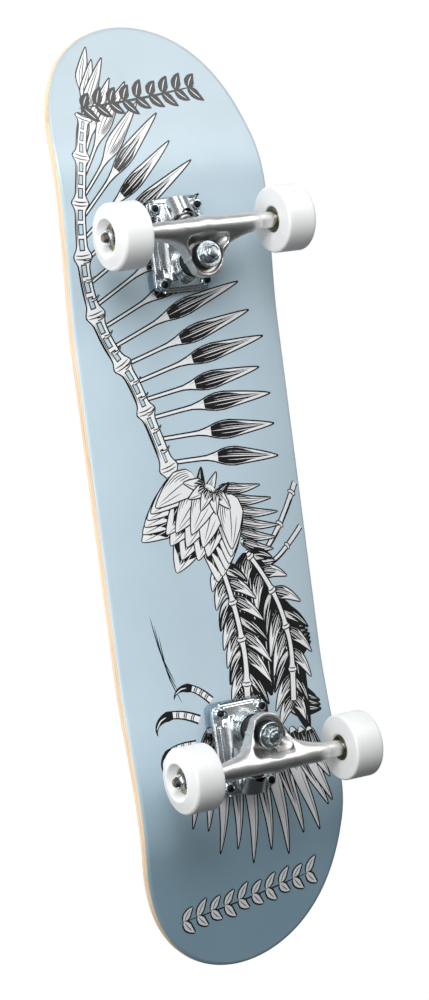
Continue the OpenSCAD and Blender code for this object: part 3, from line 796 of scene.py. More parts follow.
def build_truck_hardware(end):
    """What sits round the kingpin, with this end's mounting and axle; each bushing gets its own copy of its
    mesh.
    """
    kp = truck_frame(end) @ local_kingpin()

    def turned(name, profile, material, slot, node, radius, matrix=kp):
        return make(end + name, *lathe(rounded(profile, radius), 96), [MAT[material]], "board", slot,
                    [end + node], sharp=40, matrix=matrix)

    head = moved(hex_nut(14.3, 6, 0.01), mat4(None, (0, 0, -34.5)))
    shank = lathe(rounded([(0, -28.9), (4.7, -28.9), (4.7, 8), (0, 8)], 0.1), 64)
    screw = thread(4.72, 8, 20.9, 1.06, 0.55, 64, tip=1.0)
    make(end + "_kingpin_bolt", *join_parts([head, shank, screw]), [MAT["dark_zinc"]], "board", "zinc_steel",
         [end + "_kingpin"], matrix=kp)
    nut = moved(hex_nut(14.3, 4.8, 4.8, 6.55, 6.3), mat4(None, (0, 0, 13.4)))
    make(end + "_kingpin_locknut", *nut, [MAT["dark_zinc"]], "board", "zinc_steel", [end + "_kingpin_nut"],
         matrix=kp)
    turned("_upper_cup_washer", UPPER_WASHER, "dark_zinc", "zinc_steel", "_upper_washer", 0.3)
    turned("_lower_cup_washer", LOWER_WASHER, "zinc", "zinc_steel", "_lower_washer", 0.3)
    lower = turned("_lower_bushing_barrel", LOWER_BUSHING, "rubber", "black_urethane", "_lower_bushing", 0.8)
    upper = turned("_upper_bushing_cone", UPPER_BUSHING, "rubber", "black_urethane", "_upper_bushing", 0.7)
    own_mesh(lower)
    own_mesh(upper)
    turned("_pivot_bush", PIVOT_BUSH, "rubber", "black_urethane", "_pivot_cup", 0.3,
           truck_frame(end) @ local_steer())
    build_mounting(end)
    build_axle(end)


def bolt_places():
    return [(x, y) for x in (-BOLT_DX, BOLT_DX) for y in (-BOLT_DY, BOLT_DY)]


def bolt_head():
    """A flat countersunk head with a cross recess, its top on z = 0."""
    rings, segments, radius, depth = 26, 96, 4.65, 1.7
    angles = np.arange(segments) * 2 * math.pi / segments
    levels = [(0, -depth)]
    for i in range(1, rings + 1):
        r = radius * i / rings
        from_arm = np.minimum(abs(r * np.cos(angles)), abs(r * np.sin(angles)))
        recess = (1 - smooth_step((from_arm - 0.4) / 0.28)) * (1 - smooth_step((r - 1.9) / 0.8))
        levels.append((r, -depth * recess))
    verts, faces = revolve(levels + [(4.7, -0.12), (2.4, -2.4), (2.35, -6), (0, -6)], segments)
    return verts, [f[::-1] for f in faces]


def build_mounting(end):
    head = bolt_head()
    shaft = lathe([(0, -5.5), (2.38, -5.5), (2.38, 8), (0, 8)], 48)
    screw = thread(2.38, 0, 12.4, 0.8, 0.32, 40, tip=0.5)
    nut = hex_nut(9.5, 4.2, 2.4, 4.1, 5.8)
    down = Matrix.Rotation(math.pi, 4, "X")
    bolts, locknuts = [], []
    for x, y in bolt_places():
        bolts += [moved(head, mat4(None, (x, y, DECK_T + GRIP_T - 0.2))), moved(shaft, mat4(None, (x, y, 0))),
                  moved(screw, mat4(down, (x, y, -3.6)))]
        locknuts.append(moved(nut, mat4(down @ Matrix.Rotation(0.4 * x + y, 4, "Z"), (x, y, FLANGE_Z))))
    make(end + "_countersunk_bolts", *join_parts(bolts), [MAT["black_steel"]], "board", "black_steel",
         [end + "_mounting_bolts"], matrix=truck_frame(end))
    make(end + "_deck_locknuts", *join_parts(locknuts), [MAT["zinc"]], "board", "zinc_steel",
         [end + "_mounting_nuts"], matrix=truck_frame(end))


AXLE_HALF = 98.2
INNER_BEARING = HANGER_HALF + 1
BEARING_W = 7.0
BEARING_GAP = 8.0
OUTER_BEARING = INNER_BEARING + BEARING_W + BEARING_GAP
OUTER_WASHER = OUTER_BEARING + BEARING_W


def build_axle(end):
    """The axle and what sits on it, the same on both sides of the hanger."""
    rods, washers, locknuts, spacers, races = [], [], [], [], []
    nut = hex_nut(12.7, 4.2, 4.0, 5.85, 5.4)
    for side in (Matrix.Identity(4), Matrix.Rotation(math.pi, 4, "X")):
        rods.append(moved(lathe([(0, 0), (3.92, 0), (3.92, 86), (0, 86)], 48), side))
        rods.append(moved(thread(3.94, 86, AXLE_HALF, 1.06, 0.5, 56, tip=0.9), side))
        locknuts.append(moved(nut, side @ mat4(None, (0, 0, OUTER_WASHER + 1))))
        for at in (HANGER_HALF, OUTER_WASHER):
            washers.append(moved(sleeve(4.05, 6.3, at + 0.02, at + 0.98), side))
        races += [moved(bearing_ring(6.25, 4.03, at), side) for at in (INNER_BEARING, OUTER_BEARING)]
        spacers.append(moved(sleeve(4.05, 5.4, INNER_BEARING + BEARING_W, OUTER_BEARING), side))
    for name, parts, material, slot, node in (
        ("_threaded_axle", rods, "axle_steel", "dark_steel", "_axle"),
        ("_axle_locknuts", locknuts, "dark_zinc", "zinc_steel", "_axle_nuts"),
        ("_thin_washers", washers, "zinc", "zinc_steel", "_speed_washers"),
        ("_spacer_tubes", spacers, "dark_steel", "dark_steel", "_bearing_spacers"),
        ("_inner_races", races, "bearing_steel", "dark_steel", "_inner_rings"),
    ):
        make(end + name, *join_parts(parts), [MAT[material]], end + "_truck", slot, [end + node],
             matrix=axle_frame(end, "left"))


def sleeve(inner, outer, low, high):
    return lathe(rounded([(inner, low), (outer, low), (outer, high), (inner, high)], 0.2), 64)


def bearing_ring(outer, inner, at):
    """A bearing ring with rounded corners and the groove its balls run in."""
    groove_r, pitch, mid = 2.0, 7.5, at + BEARING_W / 2
    low, high = at + 0.05, at + BEARING_W - 0.05
    facing, way = (outer, -1) if outer < pitch else (inner, 1)
    reach_in = math.sqrt(groove_r ** 2 - (pitch - facing) ** 2)
    arc = [(pitch + way * math.sqrt(groove_r ** 2 - d * d), mid + d)
           for d in np.linspace(-reach_in, reach_in, 9)]
    if way < 0:
        profile = [(inner, low), (outer, low)] + arc + [(outer, high), (inner, high)]
    else:
        profile = [(outer, low), (outer, high), (inner, high)] + arc[::-1] + [(inner, low)]
    return lathe(rounded(profile, 0.35), 72)


def wheel_profile():
    r, low, high, outer_lip, face = WHEEL_R, INNER_BEARING - 1.3, INNER_BEARING + 26.2, 3.2, 3.0

    def arc(centre, lip, start):
        return [(r - lip + lip * math.cos(math.radians(start + 11.25 * i)),
                 centre + lip * math.sin(math.radians(start + 11.25 * i))) for i in range(9)]

    points = [(11.1, low + 1.0), (12.0, low + 0.15), (12.6, low)]
    points += [(19, low), (r - 5, low)] + arc(low + 2, 2, -90)
    points += [(r, low + 9), (r, high - 9)] + arc(high - outer_lip, outer_lip, 0)
    points += [(23.0, high + 0.28 * face), (21.0, high + 0.49 * face), (19.0, high + 0.72 * face),
               (17.6, high + 0.89 * face), (16.7, high + 0.965 * face), (16.0, high + 0.99 * face),
               (15.4, high + 0.86 * face), (14.9, high + 0.6 * face), (13.6, high - 0.6), (12.3, high - 2.2),
               (11.6, high - 2.9), (11.05, OUTER_WASHER + 0.3), (11.05, OUTER_BEARING), (9.5, OUTER_BEARING),
               (9.5, INNER_BEARING + BEARING_W), (11.05, INNER_BEARING + BEARING_W)]
    return points


SHIELD = [(6.6, -0.15), (7.1, 0.1), (8.3, 0.1), (8.66, -0.2), (8.66, -0.45), (6.6, -0.4)]


def build_wheel(end, side):
    roller, at = f"{end}_{side}_roller", axle_frame(end, side)
    prefix = f"{end}_{side}_"
    make(prefix + "urethane_wheel", *lathe(wheel_profile(), 160), [MAT["wheel"]], roller, "white_urethane",
         [prefix + "wheel"], sharp=50, matrix=at)
    races, plates = [], []
    for where in (INNER_BEARING, OUTER_BEARING):
        races.append(bearing_ring(10.95, 8.7, where))
        for z, out in ((where + 0.45, -1), (where + 6.55, 1)):
            profile = [(r, z + rise * out) for r, rise in SHIELD[::out]]
            plates.append(lathe(rounded(profile, 0.1), 72))
    for name, parts, node in (("outer_races", races, "outer_rings"), ("pressed_shields", plates, "shields")):
        make(prefix + name, *join_parts(parts), [MAT["yellow_zinc"]], roller, "yellow_zinc",
             [prefix + node], matrix=at)


def build_riser(end):
    """A clear pad with rounded corners, a soft edge and its bolt holes."""
    half_x, half_y, corner = 40.25, 28.8, 7.0
    loop = []
    for sx, sy, start in ((1, 1, 0), (-1, 1, 90), (-1, -1, 180), (1, -1, 270)):
        x, y = sx * (half_x - corner), sy * (half_y - corner)
        turn = np.radians(np.linspace(start, start + 90, 11))
        loop += [(x + corner * math.cos(a), y + corner * math.sin(a)) for a in turn]
    holes = [circle(x, y, 2.75, 32) for x, y in bolt_places() + [(SPARE_DX, -BOLT_DY), (SPARE_DX, BOLT_DY)]]
    holes.append(circle(-26, 0, 10, 48))
    points, faces, _ = planar(loop, holes=holes, spacing=12)
    levels = [(-0.06, 0.35), (-0.4, 0.0), (-RISER_T + 0.4, 0.0), (-RISER_T + 0.02, 0.35)]
    make(end + "_clear_pad", *prism(points, faces, loop, levels), [MAT["clear"]], "board", "clear_plastic",
         [end + "_riser_pad"], sharp=50, matrix=truck_frame(end))


def circle(x, y, r, count):
    angles = np.arange(count) * 2 * math.pi / count
    return [(x + r * math.cos(a), y + r * math.sin(a)) for a in angles]


# ---------------------------------------------------------------- flat triangulations lifted onto the deck

def inside_polygon(points, loop):
    """Which of the points a closed loop winds round."""
    x, y = points[:, 0], points[:, 1]
    loop = np.array(loop)
    winding = np.zeros(len(points), int)
    for (x0, y0), (x1, y1) in zip(loop, np.roll(loop, -1, 0)):
        if y0 != y1:
            left = x < x0 + (y - y0) * (x1 - x0) / (y1 - y0)
            winding += left & (y0 <= y) & (y < y1)
            winding -= left & (y1 <= y) & (y < y0)
    return winding != 0


def fill_points(loop, spacing):
    """A staggered lattice of points inside a loop, clear of its edge."""
    pts = np.array(loop)
    low, high = pts.min(0), pts.max(0)
    out = []
    for n, y in enumerate(np.arange(low[1] + spacing / 2, high[1], spacing * 0.866)):
        out += [(x, y) for x in np.arange(low[0] + spacing * (0.5 + 0.5 * (n % 2)), high[0], spacing)]
    out = np.array(out)
    out = out[inside_polygon(out, loop)]
    nearest = np.min(np.hypot(out[:, None, 0] - pts[None, :, 0], out[:, None, 1] - pts[None, :, 1]), 1)
    return out[nearest > spacing * 0.45]


def planar(loop, shapes=(), holes=(), spacing=7.0):
    """Triangles inside a loop: points, faces and the last shape over each face (-1 for none)."""
    coords, edges = [], []
    for points in [loop] + list(shapes) + list(holes):
        base, count = len(coords), len(points)
        edges += [(base + i, base + (i + 1) % count) for i in range(count)]
        coords += [Vector((float(x), float(y))) for x, y in points]
    coords += [Vector((float(x), float(y))) for x, y in fill_points(loop, spacing)]
    verts, _, faces, _, _, _ = delaunay_2d_cdt(coords, edges, [], 0, 1e-4)
    verts = np.array([tuple(v) for v in verts])
    faces = np.array([tuple(f) for f in faces])
    centres = verts[faces].mean(1)
    keep = inside_polygon(centres, loop)
    for hole in holes:
        keep &= ~inside_polygon(centres, hole)
    faces, centres = faces[keep], centres[keep]
    cover = np.full(len(faces), -1)
    for n, shape in enumerate(shapes):
        low, high = np.min(shape, 0), np.max(shape, 0)
        near = np.nonzero(((centres >= low) & (centres <= high)).all(1))[0]
        if len(near):
            cover[near[inside_polygon(centres[near], shape)]] = n
    used, renumbered = np.unique(faces, return_inverse=True)
    return verts[used], [list(f) for f in renumbered.reshape(-1, 3)], list(cover)


def prism(points, faces, loop, levels):
    """A plate between the first and last of the [(height, inset)] levels, closed round its borders."""
    centre = np.mean(np.array(loop), 0)
    size = np.abs(np.array(loop) - centre).max(0)
    count, last = len(points), len(levels) - 1
    verts = [np.c_[centre + (points - centre) * (1 - inset / size), np.full(count, height)]
             for height, inset in levels]
    quads = [list(f) for f in faces] + [[i + count * last for i in f[::-1]] for f in faces]
    for a, b in border_edges(faces):
        for n in range(0, count * last, count):
            quads.append([b + n, a + n, a + n + count, b + n + count])
    return used_only(np.concatenate(verts), quads)


def border_edges(faces):
    """The edges that only one face has."""
    edges = {(a, b) for f in faces for a, b in zip(f, list(f[1:]) + [f[0]])}
    return sorted((a, b) for a, b in edges if (b, a) not in edges)


def used_only(verts, faces):
    """Only the vertices that a face uses."""
    used = sorted({i for f in faces for i in f})
    renumber = {old: new for new, old in enumerate(used)}
    return np.asarray(verts)[used], [[renumber[i] for i in f] for f in faces]


def downward_normals(points):
    """The way the underside faces at flat points."""
    x, y = points.T
    dx = underside(x + 0.5, y) - underside(x - 0.5, y)
    dy = underside(x, y + 0.5) - underside(x, y - 0.5)
    n = np.stack([dx, dy, -np.ones(len(points))], -1)
    return n / np.linalg.norm(n, axis=1, keepdims=True)


STATIONS = stations()


def outline_loop(inset):
    rim = sheet_points((-1.0, 1.0), inset, 0.0)
    return [tuple(p[:2]) for p in rim[:, 0]] + [tuple(p[:2]) for p in rim[::-1, 1]]


def loft(rings):
    """Rings of points as one list of points, with the numbers of each ring's own."""
    count, around = len(rings), len(rings[0])
    return np.concatenate(rings), np.arange(count * around).reshape(count, around).tolist()


PLY_LOOKS = ["ply_warm", "ply_light", "ply_core", "ply_light", "ply_core", "ply_light", "ply_warm"]
PLY_GAP = 0.006
PAINT_ROOM = 0.14


def build_plies():
    """Each veneer is a closed shell whose side follows the rounded edge of the deck."""
    across = np.sin(np.linspace(-1, 1, 29) * math.pi / 2)
    thickness = DECK_T / len(PLY_LOOKS)
    for n, look in enumerate(PLY_LOOKS):
        low, high = thickness * n + (PLY_GAP if n else PAINT_ROOM), thickness * (n + 1) - PLY_GAP
        rise = np.linspace(low, high, 5)[1:-1]
        section = [sheet_points(across, edge_inset(low), low)]
        section += [sheet_points([1.0], edge_inset(h), h) for h in rise]
        section.append(sheet_points(across[::-1], edge_inset(high), high))
        section += [sheet_points([-1.0], edge_inset(h), h) for h in rise[::-1]]
        verts, rows = loft(np.concatenate(section, 1))
        faces = [f[::-1] for f in bands(rows)] + [rows[0], rows[-1][::-1]]
        make(f"ply_{n + 1}", verts * MM, faces, [MAT[look]], "board", "deck_wood", ["deck"], sharp=50)


def build_paint():
    """The painted underside: the flat field with its drawing, and a plain band round the eased edge."""
    shapes, inks = drawing_of_leaves()
    points, faces, cover = planar(outline_loop(EDGE_R), shapes, spacing=6.5)
    inked = [0 if c < 0 else inks[c] for c in cover]
    looks = [MAT["blue_paint"], MAT["white_ink"], MAT["black_ink"]]
    piece = make("painted_underside", lifted(*points.T, -0.06) * MM, [f[::-1] for f in faces], looks, "board",
                 "deck_wood", ["deck"], sharp=180, indices=inked)
    piece.data.normals_split_custom_set_from_vertices([tuple(n) for n in downward_normals(points)])
    rings = []
    for inset in (4.02, 3.2, 2.4, 1.7, 1.15):
        rise = EDGE_R - math.sqrt(EDGE_R ** 2 - (EDGE_R - min(inset, EDGE_R)) ** 2)
        rim = sheet_points((-1.0, 1.0), inset - 0.03, rise - 0.045)
        rings.append(np.concatenate([rim[:, 0], rim[::-1, 1]]))
    verts, rows = loft(rings)
    make("painted_edge", verts * MM, [f[::-1] for f in bands(rows)], [MAT["blue_paint"]], "board",
         "deck_wood", ["deck"], sharp=60)


def build_grip():
    loop = outline_loop(EDGE_R)
    holes = [circle(ENDS[end] * TRUCK_X + x, y, 5.3, 40) for end in ENDS for x, y in bolt_places()]
    points, faces, _ = planar(loop, holes=holes, spacing=8.0)
    low, high = lifted(*points.T, DECK_T + 0.01), lifted(*points.T, DECK_T + GRIP_T)
    count = len(points)
    walls = [[a, b, b + count, a + count] for a, b in border_edges(faces)]
    quads = [f[::-1] for f in faces] + [[i + count for i in f] for f in faces] + walls
    make("abrasive_sheet", np.concatenate([low, high]) * MM, quads, [MAT["grip"]], "board", "grip_sheet",
         ["grip_tape"], sharp=40)


# ---------------------------------------------------------------- the drawing on the underside

BLUE, WHITE, BLACK = 0, 1, 2
INK_LINE = 1.25


def along(path, t):
    """A point and direction at a share of the way along a smooth path through the given points."""
    path = np.array(path, float)
    n = len(path) - 1
    i = min(int(t * n), n - 1)
    f = t * n - i
    p0, p1, p2, p3 = path[max(i - 1, 0)], path[i], path[i + 1], path[min(i + 2, n)]
    a, b, c = p2 - p0, 2 * p0 - 5 * p1 + 4 * p2 - p3, 3 * p1 - p0 - 3 * p2 + p3
    point = 0.5 * (2 * p1 + a * f + b * f ** 2 + c * f ** 3)
    way = 0.5 * (a + 2 * b * f + 3 * c * f ** 2)
    return point, way / max(np.linalg.norm(way), 1e-9)


def beside(path, t, shift):
    """A point a given distance to the left of a path."""
    p, d = along(path, t)
    return p + np.array((-d[1], d[0])) * shift


def toward(root, degrees, length):
    """The point at a heading and a distance from another."""
    a = math.radians(degrees)
    return np.array((root[0] + length * math.cos(a), root[1] + length * math.sin(a)))


def ribbon(path, half, steps=14, start=0.0, end=1.0):
    """A closed outline on both sides of a path; half(t) is its half width."""
    ts = np.linspace(start, end, steps)
    left = [tuple(beside(path, t, half(t))) for t in ts]
    return left + [tuple(beside(path, t, -half(t))) for t in ts[::-1]]


def bulge(t, power=0.7):
    return math.sin(math.pi * min(1, max(0, t))) ** power


def spear(t):
    """Half width of a spear leaf: a thin stalk, a sharp shoulder and a long straight taper."""
    return float(np.interp(t, [0, 0.34, 0.40, 0.50, 0.58, 1], [0.10, 0.11, 0.20, 0.46, 0.5, 0.012]))


def blade(t):
    """Half width of a stalkless leaf with its broadest place near the root."""
    return float(np.interp(t, [0, 0.12, 0.34, 0.62, 1], [0.10, 0.34, 0.5, 0.34, 0.012]))


class Drawing:
    """Inked shapes in painting order: each one covers those before it."""

    def __init__(self):
        self.shapes, self.inks = [], []

    def add(self, loop, ink):
        """Long edges are divided so that they can follow the bends of the board."""
        fine = []
        for (x0, y0), (x1, y1) in zip(loop, loop[1:] + loop[:1]):
            parts = max(1, math.ceil(math.hypot(x1 - x0, y1 - y0) / 5.0))
            fine += [(x0 + (x1 - x0) * i / parts, y0 + (y1 - y0) * i / parts) for i in range(parts)]
        self.shapes.append(fine)
        self.inks.append(ink)

    def stroke(self, path, width, ink=BLACK, steps=8):
        """A line that swells in the middle and ends in points."""
        self.add(ribbon(path, lambda t: 0.04 + width / 2 * bulge(t), steps), ink)

    def streak(self, path, half, lane, start, end, width, ink):
        """A stroke that follows the side of a leaf at a share of its half width."""
        line = [beside(path, t, lane * half(t)) for t in np.linspace(start, end, 4)]
        self.stroke(line, width, ink, 7)

    def outlined(self, path, half, fill=WHITE, line=INK_LINE, steps=14, close=0.965):
        self.add(ribbon(path, lambda t: half(t) + line / 2, steps), BLACK)
        self.add(ribbon(path, lambda t: max(half(t) - line / 2, 0.05), steps, 0.012, close), fill)

    def leaf(self, root, tip, width, bend=0.0, fill=WHITE, dark=0.0, shape=blade, start=0.05):
        """A pointed leaf with a midrib, a dark streaked wedge from its root and hatching on one side."""
        root, tip = np.array(root, float), np.array(tip, float)
        span = tip - root
        across = np.array((-span[1], span[0])) / max(np.linalg.norm(span), 1e-9)
        path = [root, root + span * 0.5 + across * bend, tip]
        self.outlined(path, lambda t: width * shape(t), fill, steps=18)
        pen, gap = (WHITE, BLACK) if fill == BLACK else (BLACK, WHITE)
        length = 1 - start

        def half(t):
            return width * shape(t) - INK_LINE / 2

        def wedge(t):
            return 0.02 + 0.95 * max(half(t), 0) * min(1, (start + length * dark - t) / (length * dark / 2))

        if dark > 0:
            end = start + length * dark
            self.add(ribbon(path, wedge, 14, start + 0.04, end), pen)
            for n, lane in enumerate((-0.56, -0.24, 0.46)):
                stop = end - length * dark * (0.12 + 0.1 * abs(n - 1))
                self.streak(path, half, lane, start + 0.12, stop, 0.5, gap)
        else:
            for n in range(4):
                stop = start + length * (0.62 - 0.11 * n)
                self.streak(path, half, 0.86 - 0.2 * n, start + 0.05, stop, 0.7, pen)
        self.streak(path, half, 0.0, start + 0.04, 0.84, 0.8, pen if dark <= 0 else gap)
        self.streak(path, half, -0.5, max(start, 0.4), 0.9, 0.6, pen)


def rings(drawing, path, at, half, gap=1.5):
    """Two curved lines across a stalk at a knuckle."""
    d = along(path, at)[1]
    for shift in (-gap, gap):
        a, b = beside(path, at, half * 0.85) + d * shift, beside(path, at, -half * 0.85) + d * shift
        drawing.stroke([a, (a + b) / 2 + d * 0.9, b], 1.0, steps=6)


def cane(drawing, path, joints_at, width, windows=0):
    """A jointed stalk with ringed knuckles, long shading lines and, where asked, slots along its middle."""
    def half(t):
        swell = max(math.exp(-((t - j) / 0.014) ** 2) for j in joints_at)
        return width / 2 * (0.66 + 0.24 * t + 0.55 * swell)
    drawing.outlined(path, half, steps=130, close=0.997)
    for j in joints_at:
        rings(drawing, path, j, half(j))
    for first, second in zip(joints_at, joints_at[1:]):
        for lane, share in ((0.72, 1.1), (0.52, 0.8)):
            t0, t1 = first + 0.018, second - 0.018 - 0.012 * lane
            ts = (t0, (t0 + t1) / 2, t1)
            drawing.stroke([beside(path, t, lane * width / 2) for t in ts], share, steps=6)
        for n in range(windows):
            step = (second - first) / (windows + 0.6)
            t0 = first + step * (0.3 + n) + 0.006
            for share, ink, inner in ((0.20, BLACK, 0), (0.12, BLUE, 0.003)):
                ends = t0 + inner, t0 + step - 0.008 - inner
                drawing.add(ribbon(path, lambda t: share * width * bulge(t, 0.3), 10, *ends), ink)


def thorns(drawing, path, places, size, side):
    for n, t in enumerate(places):
        root, way = along(path, t)
        across = np.array((-way[1], way[0])) * side
        drawing.outlined([root, root + across * size * 0.6, root + across * size * 1.15 - way * size * 0.35],
                         lambda u: 0.1 + size * 0.16 * (1 - u), line=1.0, steps=8)


def cone_flower(drawing, centre, radius, way):
    """A round bud of overlapping pointed scales over a ring of sepals, its tip towards way."""
    centre, u = np.array(centre, float), np.array(way, float) / np.linalg.norm(way)
    v = np.array((-u[1], u[0]))

    def scale(root, turn, length, width, bend=0.0, fill=WHITE, dark=0.0):
        heading = u * math.cos(turn) + v * math.sin(turn)
        drawing.leaf(root, root + heading * radius * length, radius * width, bend, fill, dark)

    for n in range(9):
        solid = n % 2
        scale(centre - u * radius * 0.30, math.pi + 1.5 - 0.375 * n, 1.0, 0.34, 0.0,
              BLACK if solid else WHITE, 0.0 if solid else 0.8)
    counts = (1, 2, 3, 4, 5, 4, 3)
    for k, count in enumerate(counts):
        place = 0.50 - 1.20 * k / (len(counts) - 1)
        wide = math.sqrt(max(0.05, 1 - (place * 0.95) ** 2))
        for i in sorted(range(count), key=lambda i: -abs(i - (count - 1) / 2)):
            share = (i - (count - 1) / 2) / max((count - 1) / 2, 0.5)
            root = centre + (u * (place - 0.30) + v * share * wide * 0.60) * radius
            scale(root, 0.50 * share, 0.74 + 0.06 * k, 0.62, share, dark=0.0 if k > 4 else 0.74)
    for n in (-2, 2, -1, 1, 0):
        scale(centre - u * radius * 0.92 + v * n * radius * 0.07, 0.62 * n, 0.50, 0.27, dark=0.5)


def tendril(drawing, start, way, length, curl, width):
    """A hooked shoot: a pale ringed stalk that ends in a dark curled tip."""
    p, a = np.array(start, float), math.radians(way)
    path, steps = [p.copy()], 14
    for n in range(steps):
        a += math.radians(curl) * (0.15 + 2.3 * (n / steps) ** 2) / steps
        p = p + length / steps * np.array((math.cos(a), math.sin(a)))
        path.append(p.copy())
    taper = ((0, 0.5, 0.6, 1), (0.5, 0.42, 0.52, 0.03))
    drawing.add(ribbon(path, lambda t: width * float(np.interp(t, *taper)), 34), BLACK)
    drawing.add(ribbon(path, lambda t: width * 0.29 + 0.05 * math.sin(40 * t), 20, 0.0, 0.5), WHITE)
    drawing.stroke([along(path, t)[0] for t in (0.62, 0.75, 0.9)], 1.0, WHITE, 8)
    for t in (0.12, 0.26, 0.40):
        rings(drawing, path, t, width * 0.5, 0.9)


def garland(drawing, ends, pairs, size, fill, line):
    """A straight twig with small leaves in pairs."""
    a, b = np.array(ends[0], float), np.array(ends[1], float)
    d = (b - a) / np.linalg.norm(b - a)
    side = np.array((-d[1], d[0]))
    drawing.stroke([a, (a + b) / 2 + side * 1.5, b], 2.2 if fill == BLACK else 1.4, BLACK, 20)
    for n in range(pairs):
        root = a + (b - a) * (n + 0.4) / pairs
        for s in (-1, 1):
            tip = root + d * size * 0.66 + side * s * size * (0.80 + 0.12 * math.sin(2.3 * n + s))
            path = [root, (root + tip) / 2 + side * s * 1.4, tip]
            if fill == BLACK:
                drawing.add(ribbon(path, lambda t: 0.1 + size * 0.60 * blade(t), 12), BLACK)
                drawing.stroke([along(path, t)[0] for t in (0.12, 0.4, 0.7)], 0.6, WHITE, 6)
            else:
                drawing.outlined(path, lambda t: 0.2 + size * 0.52 * blade(t), fill, line, 12)
                drawing.stroke([along(path, t)[0] for t in (0.1, 0.4, 0.7)], 0.7, BLACK, 6)


CANE_PATH = [(330, -58), (302, -71), (268, -81), (230, -86), (186, -85), (142, -74), (104, -55),
             (66, -43), (22, -30)]
EDGE_LIMIT = 90
SPEAR_LIMIT = 80


def upper_leaves(drawing):
    """Spear leaves from the cane, sweeping from the nose round to the side."""
    leaves, rng = 19, random.Random(11)
    for n in range(leaves):
        share = n / (leaves - 1)
        root = along(CANE_PATH, 0.03 + 0.93 * share)[0]
        heading = toward((0, 0), 22 + 72 * share ** 0.9, 1)
        length = 86 + 56 * math.sin(math.pi * (0.06 + 0.72 * share)) - 9 * (n % 2) + rng.uniform(-5, 5)
        length *= 0.70 + 0.30 * min(1, 3 * share)
        tip = root + length * heading
        if tip[1] > SPEAR_LIMIT:
            tip = root + (tip - root) * (SPEAR_LIMIT - root[1]) / (tip[1] - root[1])
        drawing.leaf(root + 1.5 * heading, tip, 11.5 + 4.5 * share, -2.5 + 1.5 * (n % 2),
                     dark=0.52 + 0.3 * share if share > 0.3 else 0.0, shape=spear, start=0.40)


def plume(drawing, path, count, length, width, spread, flip=1):
    """Leaves in pairs along a stalk, every third one dark."""
    for n in range(count):
        share = n / max(count - 1, 1)
        root, way = along(path, 0.04 + 0.92 * share)
        base = math.degrees(math.atan2(way[1], way[0]))
        for s in (-1, 1):
            size = length * (0.75 + 0.35 * math.sin(math.pi * share)) * (1.0 if s == flip else 0.8)
            tip = toward(root, base + s * spread * (1 - 0.35 * share), size)
            tip[1] = min(tip[1], EDGE_LIMIT)
            solid = (n + (s > 0)) % 3 == 0
            drawing.leaf(root, tip, width, 2.0 * s, BLACK if solid else WHITE, 0.0 if solid else 0.6)


def foliage(drawing):
    """Two leafy stalks over dark leaves, below the bud."""
    for n in range(11):
        root = (-96 - 9 * n, 40 + 1.5 * n)
        tip = toward(root, 118 - 7.5 * n + 60 * (n > 6), 44)
        drawing.leaf(root, (tip[0], min(tip[1], EDGE_LIMIT)), 15, 2, fill=BLACK)
    drawing.leaf((-52, 34), (-176, 40), 44, 4, fill=BLACK)
    drawing.leaf((-96, 60), (-214, 74), 40, 4, fill=BLACK)
    drawing.leaf((-120, 20), (-222, 30), 34, 4, fill=BLACK)
    first = [(-52, 34), (-92, 56), (-136, 66), (-184, 62)]
    second = [(-58, 6), (-96, 14), (-140, 18), (-190, 14)]
    plume(drawing, first, 8, 40, 11.5, 46)
    plume(drawing, second, 9, 38, 11.5, 44, -1)
    knuckles = [0.05, 0.3, 0.55, 0.8]
    cane(drawing, first, knuckles, 7.0)
    cane(drawing, second, knuckles, 7.5)


def drawing_of_leaves():
    """A jointed cane with spear leaves, a scaled bud, foliage and tendrils, in board millimetres (x, y)."""
    drawing = Drawing()
    upper_leaves(drawing)
    cane(drawing, CANE_PATH, [0.02 + 0.136 * i for i in range(8)], 13.0, windows=3)
    thorns(drawing, CANE_PATH, [0.44 + 0.045 * i for i in range(12)], 7.5, -1)
    cane(drawing, [(-64, 40), (-44, 62), (-22, 80), (0, 95)], [0.1, 0.5, 0.85], 6.5)
    cane(drawing, [(-68, 42), (-62, 62), (-50, 80), (-38, 95)], [0.15, 0.6], 5.5)
    for n in range(8):
        root = (6 - 9.5 * n, 14 + 3 * n)
        drawing.leaf(root, toward(root, 94 + 3 * n, 42 + 10 * math.sin(0.8 * n)), 9.5, 2, dark=0.85)
    foliage(drawing)
    cone_flower(drawing, (-26, -16), 42, (-0.80, -0.52))
    for n in range(3):
        x = -150 - 9 * n
        drawing.stroke([(x, -52 + 2 * n), (x + 26, -62 + 2 * n), (x + 60, -68 + 3 * n)], 1.0)
    tendril(drawing, (-184, -34), -62, 52, -150, 8.5)
    tendril(drawing, (-204, -40), -84, 48, -150, 8.0)
    tendril(drawing, (-170, -20), -44, 44, -140, 7.5)
    for n in range(12):
        root = (-192 - 1.5 * n, -24 + 8.8 * n)
        tip = toward(root, 200 - 4.6 * n, 74 + 44 * math.sin(0.28 * n + 0.3) - 10 * (n % 2))
        drawing.leaf(root, (tip[0], min(tip[1], 88)), 14, 2.5, dark=0.72 if n % 2 else 0.4)
    garland(drawing, ((335, -62), (346, 58)), 9, 16, BLACK, 1.0)
    garland(drawing, ((-354, -66), (-334, 72)), 10, 15, WHITE, 1.5)
    return drawing.shapes, drawing.inks


def build_all():
    build_plies()
    build_paint()
    build_grip()
    build_castings()
    for end in ENDS:
        build_truck_hardware(end)
        build_riser(end)
        for side in SIDES:
            build_wheel(end, side)


build_all()


# ---------------------------------------------------------------- camera, light and floor

